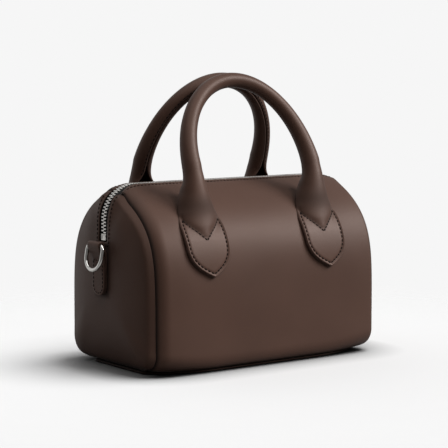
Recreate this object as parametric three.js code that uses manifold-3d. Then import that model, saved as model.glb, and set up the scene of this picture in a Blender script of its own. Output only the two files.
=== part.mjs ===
// Mini barrel handbag in smooth leather, in millimetres with +Z up.
// Two domed end panels are sewn between a front and a back panel that meet a base below and a zip above.
// The zip runs over the top and down both ends. Two rolled handles end in stitched shields, and each
// end carries a ring in a folded leather tab.
// The origin is the centre of the base on the floor. The front of the bag faces -Y, its left end -X.

import * as THREE from "three";
import { mergeVertices } from "three/addons/utils/BufferGeometryUtils.js";
import Module from "manifold-3d";

const wasm = await Module();
wasm.setup();

// Body
const SEAM_X = 97;              // the end seams lie in the planes x = +-SEAM_X
const HALF_DEPTH = 53.4;        // half the depth of the bag at the end seams
const BELLY = 2.6;              // what the half depth gains half way between the seams
const BELLY_POWER = 4;          // a higher power keeps the belly flat and rolls it into the seams
const RIDGE_Z = 130;            // top of the closed zip
const LEAN_Z = 20;              // above this height the walls lean in towards the zip
const RIDGE_HALF = 2;           // half width of the ridge that the leaning walls run to
const LEAN_POWER = 4.463;       // a higher power keeps the wall upright for longer
const RIDGE_POWER = 1.107;      // near 1 the walls meet like a roof at the ridge
const WALL = 1.6;               // leather thickness of the body
const SEAM_GAP = 0.3;           // clearance between neighbouring pieces

// Lower corner of the front and back panels: tight along the middle, full at the ends
const CREASE_Z = 3;             // height of the seam between the panels and the base
const CORNER = {
  mid: { inward: 6, upward: 10 },
  end: { inward: 18.5, upward: 15.5 },
  startX: 50,                   // the corner grows from here to the end seam
  growth: 1.5,                  // above 1 it starts gently
};
const LIP = 4;                  // seam allowance turned in over the base

// Zip
const SLOT_HALF = 6.3;          // half width of the slot between the panel edges
const SLOT_BOTTOM_Z = 91.5;     // lower end of the slot in the end panels
const SLOT_CORNER_R = 2;
const BEND_X = 82;              // the zip bends down at each end about (BEND_X, BEND_Z)
const BEND_Z = 104.5;
const BEND_R = 25.5;
const CHAIN = { half: 2.9, thick: 2.6, leftZ: 97.3, rightZ: 103 };
const STOP = { lowZ: 92.3, highZ: 97, proud: 0.3, thick: 3 };
const TAPE = { inner: 3.2, middle: 5.8, outer: 9, thick: 0.6, endZ: 92 };
const TAPE_DIP = {              // depth of the tape below the teeth's outer face
  inner: 1.3,
  flat: { middle: 3.3, outer: 5.0 },
  bend: { middle: 2.4, outer: 2.8 },
  settledDeg: 55,               // from this angle of the bend downwards the tape runs level with the panel
};
const RIDGE_LIFT = 0.9;         // what the panels rise beside the zip along the middle
const RIDGE_DROOP = 0.42;       // share of the zip's bend that the panel edges follow
const RIDGE_REACH = 20;         // how far from the slot the lift fades away

// End panels
const DOME = {
  rise: 10.5,                   // how far the dome stands out from the seam plane
  runTop: 20,                   // distance from the outline to the flat of the dome, at the zip
  runSide: 32,                  // the same at the sides and below
  topFrom: 0.55,                // upward share of the outline's direction where the change starts
  topFull: 0.95,
  crown: 1.5,                   // what the middle of the flat gains
  centreZ: 62,
  core: 0.3,                    // share of the outline that the middle takes up
};
const OUTER_STEPS = [1, 0.75, 0.5, 0.3, 0.15, 0.06, 0];   // shares of the run
const INNER_STEPS = [0.25, 0.4, 0.6, 0.8, 1];             // shares of the run left inside the wall's edge

// Base
const BASE = { top: CREASE_Z - SEAM_GAP, step: 0.5, endX: 97.6, cornerX: 92 };
const BASE_CORNER_DEGREES = [30, 60, 90];
const BASE_EDGE = [             // the lower edge is rounded
  { z: 0, inset: 1.2 },
  { z: 0.5, inset: 0.5 },
  { z: 1.4, inset: 0 },
  { z: BASE.top, inset: 0 },
];

// Ring tabs and rings, seen on the right end
const TAB = {
  backX: 109.5,                 // face that lies on the end panel
  thick: 2.8,                   // two layers of strap
  half: 7.2,
  bottomZ: 53.6,
  cornerR: 6.6,
  loopZ: 89.5,
  loopOut: 4.5,                 // the loop's middle stands this far out from the back face
  loopR: 2.7,
  boreR: 1.8,
  loopFromDeg: -20,             // the loop's outer face runs round its middle between these angles
  loopToDeg: 160,
  backRiseZ: 83,                // the back layer leaves the panel from here up
};
const TAB_FRONT_RISE = [        // the front layer leans out to the loop
  { out: TAB.thick, z: 79 },
  { out: 3.3, z: 81.5 },
  { out: 5.7, z: 85.8 },
];
const LOOP_X = TAB.backX + TAB.loopOut;
const RING = { half: 10.6, wireR: 1.4, cornerR: 2.4, armZ: -7.2, tiltDeg: 10, sides: 8 };
const RING_STEPS = { bar: 2, corner: 3, arm: 1, bow: 14 };

// Zip slider on the right end
const SLIDER = {
  half: 4.3,
  postHalf: 1.4,
  lowZ: 92.3,
  highZ: 102.6,
  upper: [0.4, 1.6],            // the plates, measured outwards from the teeth's outer face
  lower: [-4.2, -3.2],
};
const PULL = { half: 2.5, thick: 1.4, fromX: 108.7, fromZ: 100.5, toX: 117.2, toZ: 91.6 };

// Handles: rows from the shield's tip up to the arch, for a leg of the front handle
const HANDLE_R = 5.7;           // radius of the legs
const HANDLE_TOP_R = 5.5;       // radius at the top of the arch
const HANDLE_LEG = [
  { z: 69.2, depth: 56.2, x: 52.6, half: 1.4, thick: 1.25, square: 5 },
  { z: 71.2, depth: 55.9, x: 52.6, half: 4.9, thick: 1.25, square: 5 },
  { z: 74.4, depth: 55.4, x: 52.6, half: 9.3, thick: 1.25, square: 5 },
  { z: 79.5, depth: 54.4, x: 52.6, half: 13.6, thick: 1.25, square: 5 },
  { z: 85.5, depth: 52.8, x: 52.6, half: 16.1, thick: 1.25, square: 5 },
  { z: 91.5, depth: 50.6, x: 52.6, half: 16.4, thick: 1.3, square: 5 },
  { z: 97.5, depth: 47.7, x: 52.6, half: 16.1, thick: 1.4, square: 4.5 },
  { z: 103.5, depth: 44, x: 52.6, half: 15.8, thick: 1.6, square: 3.5 },
  { z: 109.5, depth: 40.5, x: 52.7, half: 15.2, thick: 2.6, square: 2.6 },
  { z: 115.5, depth: 38, x: 52.8, half: 13, thick: 4.2, square: 2.2 },
  { z: 121.5, depth: 36.6, x: 53, half: 10.5, thick: 5.2, square: 2 },
  { z: 128, depth: 35.6, x: 53.2, half: 8.3, thick: 5.6, square: 2 },
  { z: 135, depth: 34.2, x: 53.5, half: 6.5, thick: 5.7, square: 2 },
];
const ARCH = { baseZ: 143, baseDepth: 31.8, topZ: 204, topDepth: 5.95, half: 53.7, steps: 20 };
const HANDLE_SIDES = 14;

// Finishes
const LEATHER = { color: 0x4b3a33, roughness: 0.5, metalness: 0 };
const END_LEATHER = { color: 0x453530, roughness: 0.5, metalness: 0 };
const TAPE_CLOTH = { color: 0x17130f, roughness: 0.9, metalness: 0 };
const NICKEL = { color: 0xc9c6c0, roughness: 0.25, metalness: 1 };

// How finely the shapes are divided
const CURVE_STEPS = 7;          // segments of each arc of a flat outline
const BEND_STEPS = 9;           // segments of each bend of the zip
const WALL_POINTS = 14;         // points up a panel's wall
const CORNER_POINTS = 5;        // points round its lower corner
const BOTTOM_POINTS = 3;        // points along half of an end panel's lower edge
const SAMPLES = 60;             // points that the wall's curve is measured with
const ARC_DIVISIONS = 4;        // steps between two of them
const WELD = 1e-4;              // corners nearer than this are one
const CUT_MARGIN = 10;          // what a cutting shape runs past the piece it cuts

const bag = new THREE.Group();

function addPiece(name, geometry, finish) {
  geometry.computeVertexNormals();
  const mesh = new THREE.Mesh(geometry, new THREE.MeshStandardMaterial(finish));
  mesh.name = name;
  bag.add(mesh);
}

// Signed volume of an indexed surface, positive when its faces point outwards
function signedVolume(geometry) {
  const points = geometry.getAttribute("position");
  const index = geometry.getIndex();
  const corner = [new THREE.Vector3(), new THREE.Vector3(), new THREE.Vector3()];
  let total = 0;
  for (let i = 0; i < index.count; i += 3) {
    corner.forEach((vertex, k) => vertex.fromBufferAttribute(points, index.getX(i + k)));
    total += corner[0].dot(corner[1].clone().cross(corner[2]));
  }
  return total / 6;
}

// Closed solid through rings of points. A closed loft joins its last ring to its first. An open one is
// capped by a fan, or for a thin band of outer and inner points by a strip between the two.
function loft(rings, { closed = false, cap = "fan" } = {}) {
  const size = rings[0].length;
  const points = rings.flat();
  const index = [];
  const at = (row, column) => (row % rings.length) * size + (column % size);
  const quad = (a, b, c, d) => index.push(a, b, c, a, c, d);
  const spans = closed ? rings.length : rings.length - 1;
  for (let row = 0; row < spans; row += 1) {
    for (let column = 0; column < size; column += 1) {
      quad(at(row, column), at(row + 1, column), at(row + 1, column + 1), at(row, column + 1));
    }
  }
  const fan = (row, facing) => {
    const centre = new THREE.Vector3();
    rings[row].forEach((point) => centre.addScaledVector(point, 1 / size));
    points.push(centre);
    for (let column = 0; column < size; column += 1) {
      const pair = [at(row, column), at(row, column + 1)];
      index.push(points.length - 1, ...(facing ? pair : pair.reverse()));
    }
  };
  const strip = (row, facing) => {
    for (let column = 0; column < size / 2 - 1; column += 1) {
      const corners = [column, column + 1, size - 2 - column, size - 1 - column].map((c) => at(row, c));
      quad(...(facing ? corners : corners.reverse()));
    }
  };
  if (!closed) {
    const close = cap === "fan" ? fan : strip;
    close(0, true);
    close(rings.length - 1, false);
  }
  const geometry = new THREE.BufferGeometry().setFromPoints(points);
  geometry.setIndex(index);
  if (signedVolume(geometry) < 0) {
    geometry.setIndex(index.reverse());
  }
  return geometry;
}

function toManifold(geometry) {
  const bare = geometry.clone();
  bare.deleteAttribute("normal");
  bare.deleteAttribute("uv");
  const merged = mergeVertices(bare, WELD);
  return new wasm.Manifold(new wasm.Mesh({
    numProp: 3,
    vertProperties: new Float32Array(merged.getAttribute("position").array),
    triVerts: new Uint32Array(merged.getIndex().array),
  }));
}

function toGeometry(solid) {
  const mesh = solid.getMesh();
  const geometry = new THREE.BufferGeometry();
  geometry.setAttribute("position", new THREE.BufferAttribute(mesh.vertProperties, 3));
  geometry.setIndex(new THREE.BufferAttribute(mesh.triVerts, 1));
  return geometry;
}

// Flat outline in the YZ plane carried along X from lowX to highX
function extrudeAlongX(shape, lowX, highX) {
  const geometry = new THREE.ExtrudeGeometry(shape, {
    depth: highX - lowX,
    bevelEnabled: false,
    curveSegments: CURVE_STEPS,
  });
  geometry.applyMatrix4(new THREE.Matrix4().makeBasis(
    new THREE.Vector3(0, 1, 0),
    new THREE.Vector3(0, 0, 1),
    new THREE.Vector3(1, 0, 0),
  ));
  return geometry.translate(lowX, 0, 0);
}

// Flat outline in the XZ plane carried along Y over a width of 2 * half
function extrudeAlongY(shape, half) {
  const geometry = new THREE.ExtrudeGeometry(shape, {
    depth: 2 * half,
    bevelEnabled: false,
    curveSegments: CURVE_STEPS,
  });
  geometry.rotateX(Math.PI / 2);
  return geometry.translate(0, half, 0);
}

// Lower end of an upright outline, from its left side round two corners to its right side
function roundedBottom(shape, half, bottomZ, radius) {
  shape.lineTo(-half, bottomZ + radius);
  shape.absarc(-half + radius, bottomZ + radius, radius, Math.PI, Math.PI * 1.5);
  shape.absarc(half - radius, bottomZ + radius, radius, Math.PI * 1.5, Math.PI * 2);
}

function mirrored(geometry, axis) {
  const scale = new THREE.Vector3(1, 1, 1);
  scale[axis] = -1;
  const copy = geometry.clone().scale(scale.x, scale.y, scale.z);
  const index = copy.getIndex();
  copy.setIndex(Array.from(index.array).reverse());
  return copy;
}

const smooth = (from, to, value) => THREE.MathUtils.smoothstep(value, from, to);

// Body sections

// How far the zip's bend takes it below the ridge at station x
function zipDrop(x) {
  const past = Math.max(0, Math.abs(x) - BEND_X);
  return BEND_R - Math.sqrt(BEND_R ** 2 - past ** 2);
}

function bodyDepth(x) {
  return HALF_DEPTH + BELLY * (1 - (x / SEAM_X) ** BELLY_POWER);
}

function cornerSize(x) {
  const ramp = Math.max(0, (Math.abs(x) - CORNER.startX) / (SEAM_X - CORNER.startX)) ** CORNER.growth;
  return {
    inward: THREE.MathUtils.lerp(CORNER.mid.inward, CORNER.end.inward, ramp),
    upward: THREE.MathUtils.lerp(CORNER.mid.upward, CORNER.end.upward, ramp),
  };
}

// Point of the leaning wall: its depth from the middle plane at height z
function wallPoint(x, z) {
  const rise = Math.max(0, (z - LEAN_Z) / (RIDGE_Z - LEAN_Z));
  const lean = Math.max(0, 1 - rise ** LEAN_POWER) ** (1 / RIDGE_POWER);
  const depth = RIDGE_HALF + (bodyDepth(x) - RIDGE_HALF) * lean;
  const near = 1 - smooth(SLOT_HALF, SLOT_HALF + RIDGE_REACH, depth);
  return new THREE.Vector2(depth, z + near * (RIDGE_LIFT - RIDGE_DROOP * zipDrop(x)));
}

// Evenly spaced points along a curve given by many points
function spaced(points, count) {
  const curve = new THREE.SplineCurve(points);
  curve.arcLengthDivisions = points.length * ARC_DIVISIONS;
  return curve.getSpacedPoints(count - 1);
}

// Height where the leaning wall reaches the edge of the zip slot
function slotEdgeZ() {
  const lean = ((SLOT_HALF - RIDGE_HALF) / (HALF_DEPTH + BELLY - RIDGE_HALF)) ** RIDGE_POWER;
  return LEAN_Z + (RIDGE_Z - LEAN_Z) * (1 - lean) ** (1 / LEAN_POWER);
}

// Outer section of a main panel at station x, from the crease at the base up to the zip slot
function panelSection(x) {
  const { inward, upward } = cornerSize(x);
  const depth = bodyDepth(x);
  const corner = [];
  for (let i = 0; i < CORNER_POINTS; i += 1) {
    const angle = (i / (CORNER_POINTS - 1)) * Math.PI / 2;
    corner.push(new THREE.Vector2(
      depth - inward * (1 - Math.sin(angle)),
      CREASE_Z + upward * (1 - Math.cos(angle)),
    ));
  }
  const wall = [];
  const lowZ = CREASE_Z + upward;
  const highZ = slotEdgeZ();
  for (let i = 0; i <= SAMPLES; i += 1) {
    wall.push(wallPoint(x, THREE.MathUtils.lerp(lowZ, highZ, i / SAMPLES)));
  }
  wall[SAMPLES].x = SLOT_HALF;
  return [...corner, ...spaced(wall, WALL_POINTS).slice(1)];
}

// The same curve moved inwards by a distance, square to its own direction
function offsetCurve(curve, distance) {
  return curve.map((point, i) => {
    const before = curve[Math.max(0, i - 1)];
    const after = curve[Math.min(curve.length - 1, i + 1)];
    const along = after.clone().sub(before).normalize();
    return new THREE.Vector2(point.x - along.y * distance, point.y + along.x * distance);
  });
}

// Front and back panels

const HALF_STATIONS = [0, 17, 34, 50, 60, 69, 77, 83, 88, 92, SEAM_X - SEAM_GAP / 2];
const STATIONS = [...HALF_STATIONS.slice(1).reverse().map((x) => -x), ...HALF_STATIONS];

function mainPanel() {
  const rings = STATIONS.map((x) => {
    const section = panelSection(x);
    const lip = new THREE.Vector2(section[0].x - LIP, section[0].y);
    const outer = [lip, ...section];
    const inner = offsetCurve(outer, WALL).reverse();
    return [...outer, ...inner].map((point) => new THREE.Vector3(x, -point.x, point.y));
  });
  return loft(rings, { cap: "strip" });
}

const frontPanel = mainPanel();
addPiece("front_panel", frontPanel, LEATHER);
addPiece("back_panel", mirrored(frontPanel, "y"), LEATHER);

// End panels

// Closed outline of the end panel in the seam plane, from the middle of its lower edge round to it again
function endOutline() {
  const section = panelSection(SEAM_X);
  const half = [];
  for (let i = 1; i < BOTTOM_POINTS; i += 1) {
    half.push(new THREE.Vector2(section[0].x * i / BOTTOM_POINTS, CREASE_Z));
  }
  half.push(...section);
  const apex = section[section.length - 1].clone().setX(0);
  const other = half.slice().reverse().map((point) => new THREE.Vector2(-point.x, point.y));
  return [new THREE.Vector2(0, CREASE_Z), ...half, apex, ...other];
}

function endPanel() {
  const outline = endOutline();
  const centre = new THREE.Vector2(0, DOME.centreZ);
  const edgeX = SEAM_X + SEAM_GAP / 2;
  const spokes = outline.map((point, i) => {
    const before = outline[(i + outline.length - 1) % outline.length];
    const after = outline[(i + 1) % outline.length];
    const along = after.clone().sub(before).normalize();
    const run = THREE.MathUtils.lerp(DOME.runSide, DOME.runTop, smooth(DOME.topFrom, DOME.topFull, -along.x));
    const radius = (run ** 2 + DOME.rise ** 2) / (2 * DOME.rise);
    const reach = Math.abs(point.clone().sub(centre).cross(along));
    return { point, run, radius, reach };
  });
  // A ring of the dome's outer or inner skin at a share of the way from its edge to its flat
  const domeRing = (share, depth) => spokes.map(({ point, run, radius, reach }) => {
    const arcR = radius - depth;
    const sunk = radius - DOME.rise;
    const edge = run - Math.sqrt(arcR ** 2 - sunk ** 2);
    const distance = THREE.MathUtils.lerp(edge, run, share);
    const place = point.clone().lerp(centre, distance / reach);
    const rise = Math.sqrt(arcR ** 2 - (run - distance) ** 2) - sunk;
    return new THREE.Vector3(edgeX + rise, place.x, place.y);
  });
  const coreRing = (x) => outline.map((point) => {
    const place = centre.clone().lerp(point, DOME.core);
    return new THREE.Vector3(x, place.x, place.y);
  });
  const topX = edgeX + DOME.rise + DOME.crown;
  const rings = [
    coreRing(topX),
    ...OUTER_STEPS.map((share) => domeRing(share, 0)),
    domeRing(0, WALL),
    ...INNER_STEPS.map((share) => domeRing(share, WALL)),
    coreRing(topX - WALL),
  ];
  return loft(rings);
}

// Outline of the zip slot in the YZ plane, open at the top
function slotShape() {
  const shape = new THREE.Shape();
  const highZ = RIDGE_Z + CUT_MARGIN;
  shape.moveTo(-SLOT_HALF, highZ);
  roundedBottom(shape, SLOT_HALF, SLOT_BOTTOM_Z, SLOT_CORNER_R);
  shape.lineTo(SLOT_HALF, highZ);
  shape.closePath();
  return shape;
}

const slotCutter = extrudeAlongX(slotShape(), SEAM_X - CUT_MARGIN, SEAM_X + DOME.rise + CUT_MARGIN);
const rightEnd = toGeometry(toManifold(endPanel()).subtract(toManifold(slotCutter)));
addPiece("end_panel_right", rightEnd, END_LEATHER);
addPiece("end_panel_left", mirrored(rightEnd, "x"), END_LEATHER);

// Base

function baseRing({ z, inset }) {
  const halfWidth = (x) => panelSection(x)[0].x - BASE.step - inset;
  const side = HALF_STATIONS.filter((x) => x <= BASE.cornerX).map((x) => [x, halfWidth(x)]);
  const endX = BASE.endX - inset;
  const endHalf = halfWidth(endX);
  const cornerRun = endX - BASE.cornerX;
  const corner = BASE_CORNER_DEGREES.map((degrees) => {
    const angle = THREE.MathUtils.degToRad(degrees);
    return [BASE.cornerX + cornerRun * Math.sin(angle), endHalf - cornerRun * (1 - Math.cos(angle))];
  });
  const quarter = [...side, ...corner];
  const half = [...quarter, ...quarter.slice().reverse().map(([x, y]) => [x, -y])];
  const otherHalf = half.slice(1, -1).reverse().map(([x, y]) => [-x, y]);
  return [...half, ...otherHalf].map(([x, y]) => new THREE.Vector3(x, y, z));
}

addPiece("base_panel", loft(BASE_EDGE.map(baseRing)), LEATHER);

// Zip

// Stations along the zip: a point of the teeth's outer face, the direction out of the bag, the bend's angle
function zipStations(leftZ, rightZ) {
  const quarter = [];
  for (let i = 0; i <= BEND_STEPS; i += 1) {
    const degrees = 90 * i / BEND_STEPS;
    const angle = THREE.MathUtils.degToRad(degrees);
    const out = new THREE.Vector3(Math.cos(angle), 0, Math.sin(angle));
    const point = new THREE.Vector3(BEND_X, 0, BEND_Z).addScaledVector(out, BEND_R);
    quarter.push({ point, out, degrees });
  }
  const end = (z) => ({
    point: new THREE.Vector3(BEND_X + BEND_R, 0, z),
    out: new THREE.Vector3(1, 0, 0),
    degrees: 0,
  });
  const flip = ({ point, out, degrees }) => ({
    point: point.clone().setX(-point.x),
    out: out.clone().setX(-out.x),
    degrees,
  });
  const left = [end(leftZ), ...quarter].map(flip);
  const right = [end(rightZ), ...quarter].reverse();
  return [...left, ...right];
}

function placeOnZip(station, y, depth) {
  return station.point.clone().addScaledVector(station.out, -depth).setY(y);
}

function zipChain() {
  const { half, thick } = CHAIN;
  const corners = [[-half, 0], [half, 0], [half, thick], [-half, thick]];
  const rings = zipStations(CHAIN.leftZ, CHAIN.rightZ).map(
    (station) => corners.map(([y, depth]) => placeOnZip(station, y, depth)),
  );
  return loft(rings);
}

function zipTape() {
  const rings = zipStations(TAPE.endZ, TAPE.endZ).map((station) => {
    const flatness = Math.max(0, (station.degrees - TAPE_DIP.settledDeg) / (90 - TAPE_DIP.settledDeg));
    const dip = (key) => THREE.MathUtils.lerp(TAPE_DIP.bend[key], TAPE_DIP.flat[key], flatness);
    const line = [
      { y: TAPE.inner, depth: TAPE_DIP.inner },
      { y: TAPE.middle, depth: dip("middle") },
      { y: TAPE.outer, depth: dip("outer") },
    ];
    const upper = line.map(({ y, depth }) => placeOnZip(station, -y, depth - TAPE.thick / 2));
    const lower = line.map(({ y, depth }) => placeOnZip(station, -y, depth + TAPE.thick / 2));
    return [...upper, ...lower.reverse()];
  });
  return loft(rings, { cap: "strip" });
}

const frontTape = zipTape();
addPiece("zip_tape_front", frontTape, TAPE_CLOTH);
addPiece("zip_tape_back", mirrored(frontTape, "y"), TAPE_CLOTH);
addPiece("zip_chain", zipChain(), NICKEL);

const stopX = BEND_X + BEND_R + STOP.proud;
const zipStop = new THREE.BoxGeometry(STOP.thick, 2 * CHAIN.half, STOP.highZ - STOP.lowZ);
zipStop.translate(-stopX + STOP.thick / 2, 0, (STOP.lowZ + STOP.highZ) / 2);
addPiece("zip_stop", zipStop, NICKEL);

// Slider: two plates either side of the tapes, joined by a post, with a pull that leans on the ring tab

function sliderPlate([low, high], half) {
  const faceX = BEND_X + BEND_R;
  const plate = new THREE.BoxGeometry(high - low, 2 * half, SLIDER.highZ - SLIDER.lowZ);
  return toManifold(plate.translate(faceX + (low + high) / 2, 0, (SLIDER.lowZ + SLIDER.highZ) / 2));
}

function sliderPull() {
  const from = new THREE.Vector2(PULL.fromX, PULL.fromZ);
  const to = new THREE.Vector2(PULL.toX, PULL.toZ);
  const side = to.clone().sub(from).normalize().rotateAround(new THREE.Vector2(), Math.PI / 2);
  side.multiplyScalar(PULL.thick / 2);
  const shape = new THREE.Shape([
    from.clone().add(side),
    from.clone().sub(side),
    to.clone().sub(side),
    to.clone().add(side),
  ]);
  return toManifold(extrudeAlongY(shape, PULL.half));
}

const slider = sliderPlate(SLIDER.upper, SLIDER.half)
  .add(sliderPlate(SLIDER.lower, SLIDER.half))
  .add(sliderPlate([SLIDER.lower[0], SLIDER.upper[1]], SLIDER.postHalf))
  .add(sliderPull());
addPiece("zip_slider", toGeometry(slider), NICKEL);

// Ring tabs: a strap folded round the ring's bar, its two layers sewn flat below

function ringTab() {
  const side = new THREE.Shape();
  side.moveTo(TAB.backX, TAB.bottomZ);
  side.lineTo(TAB.backX + TAB.thick, TAB.bottomZ);
  TAB_FRONT_RISE.forEach(({ out, z }) => side.lineTo(TAB.backX + out, z));
  side.absarc(
    LOOP_X,
    TAB.loopZ,
    TAB.loopR,
    THREE.MathUtils.degToRad(TAB.loopFromDeg),
    THREE.MathUtils.degToRad(TAB.loopToDeg),
  );
  side.lineTo(TAB.backX, TAB.backRiseZ);
  side.closePath();
  const bore = new THREE.Path();
  bore.absarc(LOOP_X, TAB.loopZ, TAB.boreR, 0, Math.PI * 2);
  side.holes.push(bore);
  const face = new THREE.Shape();
  const highZ = TAB.loopZ + CUT_MARGIN;
  face.moveTo(TAB.half, highZ);
  face.lineTo(-TAB.half, highZ);
  roundedBottom(face, TAB.half, TAB.bottomZ, TAB.cornerR);
  face.closePath();
  const strap = toManifold(extrudeAlongY(side, TAB.half + CUT_MARGIN));
  const outline = toManifold(extrudeAlongX(face, TAB.backX - CUT_MARGIN, LOOP_X + CUT_MARGIN));
  return toGeometry(strap.intersect(outline));
}

const rightTab = ringTab();
addPiece("ring_tab_right", rightTab, END_LEATHER);
addPiece("ring_tab_left", mirrored(rightTab, "x"), END_LEATHER);

// Rings: a bar along Y in the tab's loop, two short arms and a half circle that hangs below

function ringPath() {
  const path = new THREE.CurvePath();
  const { half, cornerR, armZ } = RING;
  const turn = (y, z, radius, from, to) => {
    path.add(new THREE.EllipseCurve(y, z, radius, radius, from, to, from > to));
  };
  const line = (fromY, fromZ, toY, toZ) => {
    path.add(new THREE.LineCurve(new THREE.Vector2(fromY, fromZ), new THREE.Vector2(toY, toZ)));
  };
  line(-half + cornerR, 0, half - cornerR, 0);
  turn(half - cornerR, -cornerR, cornerR, Math.PI / 2, 0);
  line(half, -cornerR, half, armZ);
  turn(0, armZ, half, 0, -Math.PI);
  line(-half, armZ, -half, -cornerR);
  turn(-half + cornerR, -cornerR, cornerR, Math.PI, Math.PI / 2);
  const { bar, corner, arm, bow } = RING_STEPS;
  const stepsOf = [bar, corner, arm, bow, arm, corner];
  const points = [];
  path.curves.forEach((curve, i) => points.push(...curve.getPoints(stepsOf[i]).slice(0, -1)));
  return points;
}

function dRing() {
  const path = ringPath();
  const rings = path.map((point, i) => {
    const before = path[(i + path.length - 1) % path.length];
    const after = path[(i + 1) % path.length];
    const along = after.clone().sub(before).normalize();
    const ring = [];
    for (let k = 0; k < RING.sides; k += 1) {
      const angle = 2 * Math.PI * (k + 0.5) / RING.sides;
      const out = RING.wireR * Math.cos(angle);
      ring.push(new THREE.Vector3(
        RING.wireR * Math.sin(angle),
        point.x + along.y * out,
        point.y - along.x * out,
      ));
    }
    return ring;
  });
  const geometry = loft(rings, { closed: true });
  geometry.rotateY(-THREE.MathUtils.degToRad(RING.tiltDeg));
  return geometry.translate(LOOP_X, 0, TAB.loopZ);
}

const rightRing = dRing();
addPiece("d_ring_right", rightRing, NICKEL);
addPiece("d_ring_left", mirrored(rightRing, "x"), NICKEL);

// Handles: one leg's rows, the arch, and the other leg's rows

function handleStations() {
  const leg = HANDLE_LEG.map((row) => ({ ...row }));
  const arch = [];
  const rise = ARCH.topZ - ARCH.baseZ;
  for (let i = 0; i <= ARCH.steps; i += 1) {
    const angle = Math.PI * i / ARCH.steps;
    const up = Math.sin(angle);
    arch.push({
      x: ARCH.half * Math.cos(angle),
      z: ARCH.baseZ + rise * up,
      depth: THREE.MathUtils.lerp(ARCH.baseDepth, ARCH.topDepth, up),
      half: THREE.MathUtils.lerp(HANDLE_R, HANDLE_TOP_R, up),
      thick: THREE.MathUtils.lerp(HANDLE_R, HANDLE_TOP_R, up),
      square: 2,
      onArch: true,
    });
  }
  const otherLeg = leg.slice().reverse().map((row) => ({ ...row, x: -row.x }));
  return [...leg, ...arch, ...otherLeg];
}

function handle() {
  const stations = handleStations();
  const place = ({ x, depth, z }) => new THREE.Vector3(x, -depth, z);
  const lean = new THREE.Vector3(0, ARCH.baseDepth - ARCH.topDepth, ARCH.topZ - ARCH.baseZ).normalize();
  const acrossBag = new THREE.Vector3(1, 0, 0);
  const power = (value, exponent) => Math.sign(value) * Math.abs(value) ** exponent;
  const rings = stations.map((station, i) => {
    const before = place(stations[Math.max(0, i - 1)]);
    const after = place(stations[Math.min(stations.length - 1, i + 1)]);
    const along = after.clone().sub(before).normalize();
    const up = station.onArch ? lean : along.clone().setX(0).normalize();
    const outward = acrossBag.clone().cross(up.z < 0 ? up.clone().negate() : up);
    const wide = outward.clone().cross(along).normalize();
    const ring = [];
    for (let k = 0; k < HANDLE_SIDES; k += 1) {
      const angle = 2 * Math.PI * (k + 0.5) / HANDLE_SIDES;
      const across = station.half * power(Math.cos(angle), 2 / station.square);
      const through = station.thick * power(Math.sin(angle), 2 / station.square);
      ring.push(place(station).addScaledVector(wide, across).addScaledVector(outward, through));
    }
    return ring;
  });
  return loft(rings);
}

const frontHandle = handle();
addPiece("handle_front", frontHandle, LEATHER);
addPiece("handle_back", mirrored(frontHandle, "y"), LEATHER);

export default bag;
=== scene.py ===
import math

import bmesh
import bpy
import numpy as np
from mathutils import Matrix, Vector


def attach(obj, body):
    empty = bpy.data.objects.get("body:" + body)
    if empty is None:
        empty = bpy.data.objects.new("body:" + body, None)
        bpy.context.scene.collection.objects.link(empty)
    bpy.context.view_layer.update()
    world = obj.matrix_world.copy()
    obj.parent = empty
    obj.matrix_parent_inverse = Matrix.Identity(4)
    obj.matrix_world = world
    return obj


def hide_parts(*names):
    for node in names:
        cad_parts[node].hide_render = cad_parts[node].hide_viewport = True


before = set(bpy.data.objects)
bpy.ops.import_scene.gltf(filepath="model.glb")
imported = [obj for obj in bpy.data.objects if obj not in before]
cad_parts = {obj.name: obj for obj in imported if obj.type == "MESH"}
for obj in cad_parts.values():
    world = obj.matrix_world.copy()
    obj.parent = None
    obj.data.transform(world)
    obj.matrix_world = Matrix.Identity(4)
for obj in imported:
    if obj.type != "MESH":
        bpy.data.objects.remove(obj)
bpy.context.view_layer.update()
mm = 0.001  # the settings below are in millimetres, the scene is in metres
bagMiddle = Vector((0, 0, 60))
print("frame loaded,", len(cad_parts), "nodes")


# Camera, light and floor

cameraView = dict(place=(-717.117, -980.371, 221.113), target=(-1.0, 2.03, 97.35), lens=132.12, sensor=36)

studioLights = [
    dict(name="keyLight", towards=(0.66, -0.46, 0.51), spread=28, power=3.8),
    dict(name="frontLight", towards=(0.20, -0.76, 0.56), spread=16, power=0.9),
    dict(name="topLight", towards=(-0.10, -0.15, 1.0), spread=60, power=1.3),
    dict(name="paperLight", towards=(0.37, -0.24, 1.0), spread=42, power=2.82, onPaper=True),
]

studioRoom = dict(
    sky=0.14, backdrop=0.65, backdropFrom=(0.0, 1.0, 0.0), glowFrom=0.1, glowTo=0.9, seen=0.922,
    floorTone=0.90, bounceTone=0.35, fadeFrom=0.16, fadeTo=0.42, floorSize=1.5, floorDrop=0.2,
    contactReach=30.0, contactPower=0.9, contactSamples=16,
)


def aimObject(name, data, place, direction):
    item = bpy.data.objects.new(name, data)
    item.location = place
    item.rotation_mode = "QUATERNION"
    item.rotation_quaternion = direction.to_track_quat("-Z", "Y")
    bpy.context.collection.objects.link(item)
    return item


def meshObject(name, bm, material):
    mesh = bpy.data.meshes.new(name)
    bm.to_mesh(mesh)
    bm.free()
    mesh.materials.append(material)
    item = bpy.data.objects.new(name, mesh)
    bpy.context.collection.objects.link(item)
    return item


def addNode(tree, kind, at, values=None, **settings):
    node = tree.nodes.new("ShaderNode" + kind)
    node.location = at
    for key, value in settings.items():
        setattr(node, key, value)
    for key, value in (values or {}).items():
        node.inputs[key].default_value = value
    return node


def joinNodes(tree, *joins):
    # each join is a node and its output, then the next node and its input
    for start, out, end, into in joins:
        tree.links.new(start.outputs[out], end.inputs[into])


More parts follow.
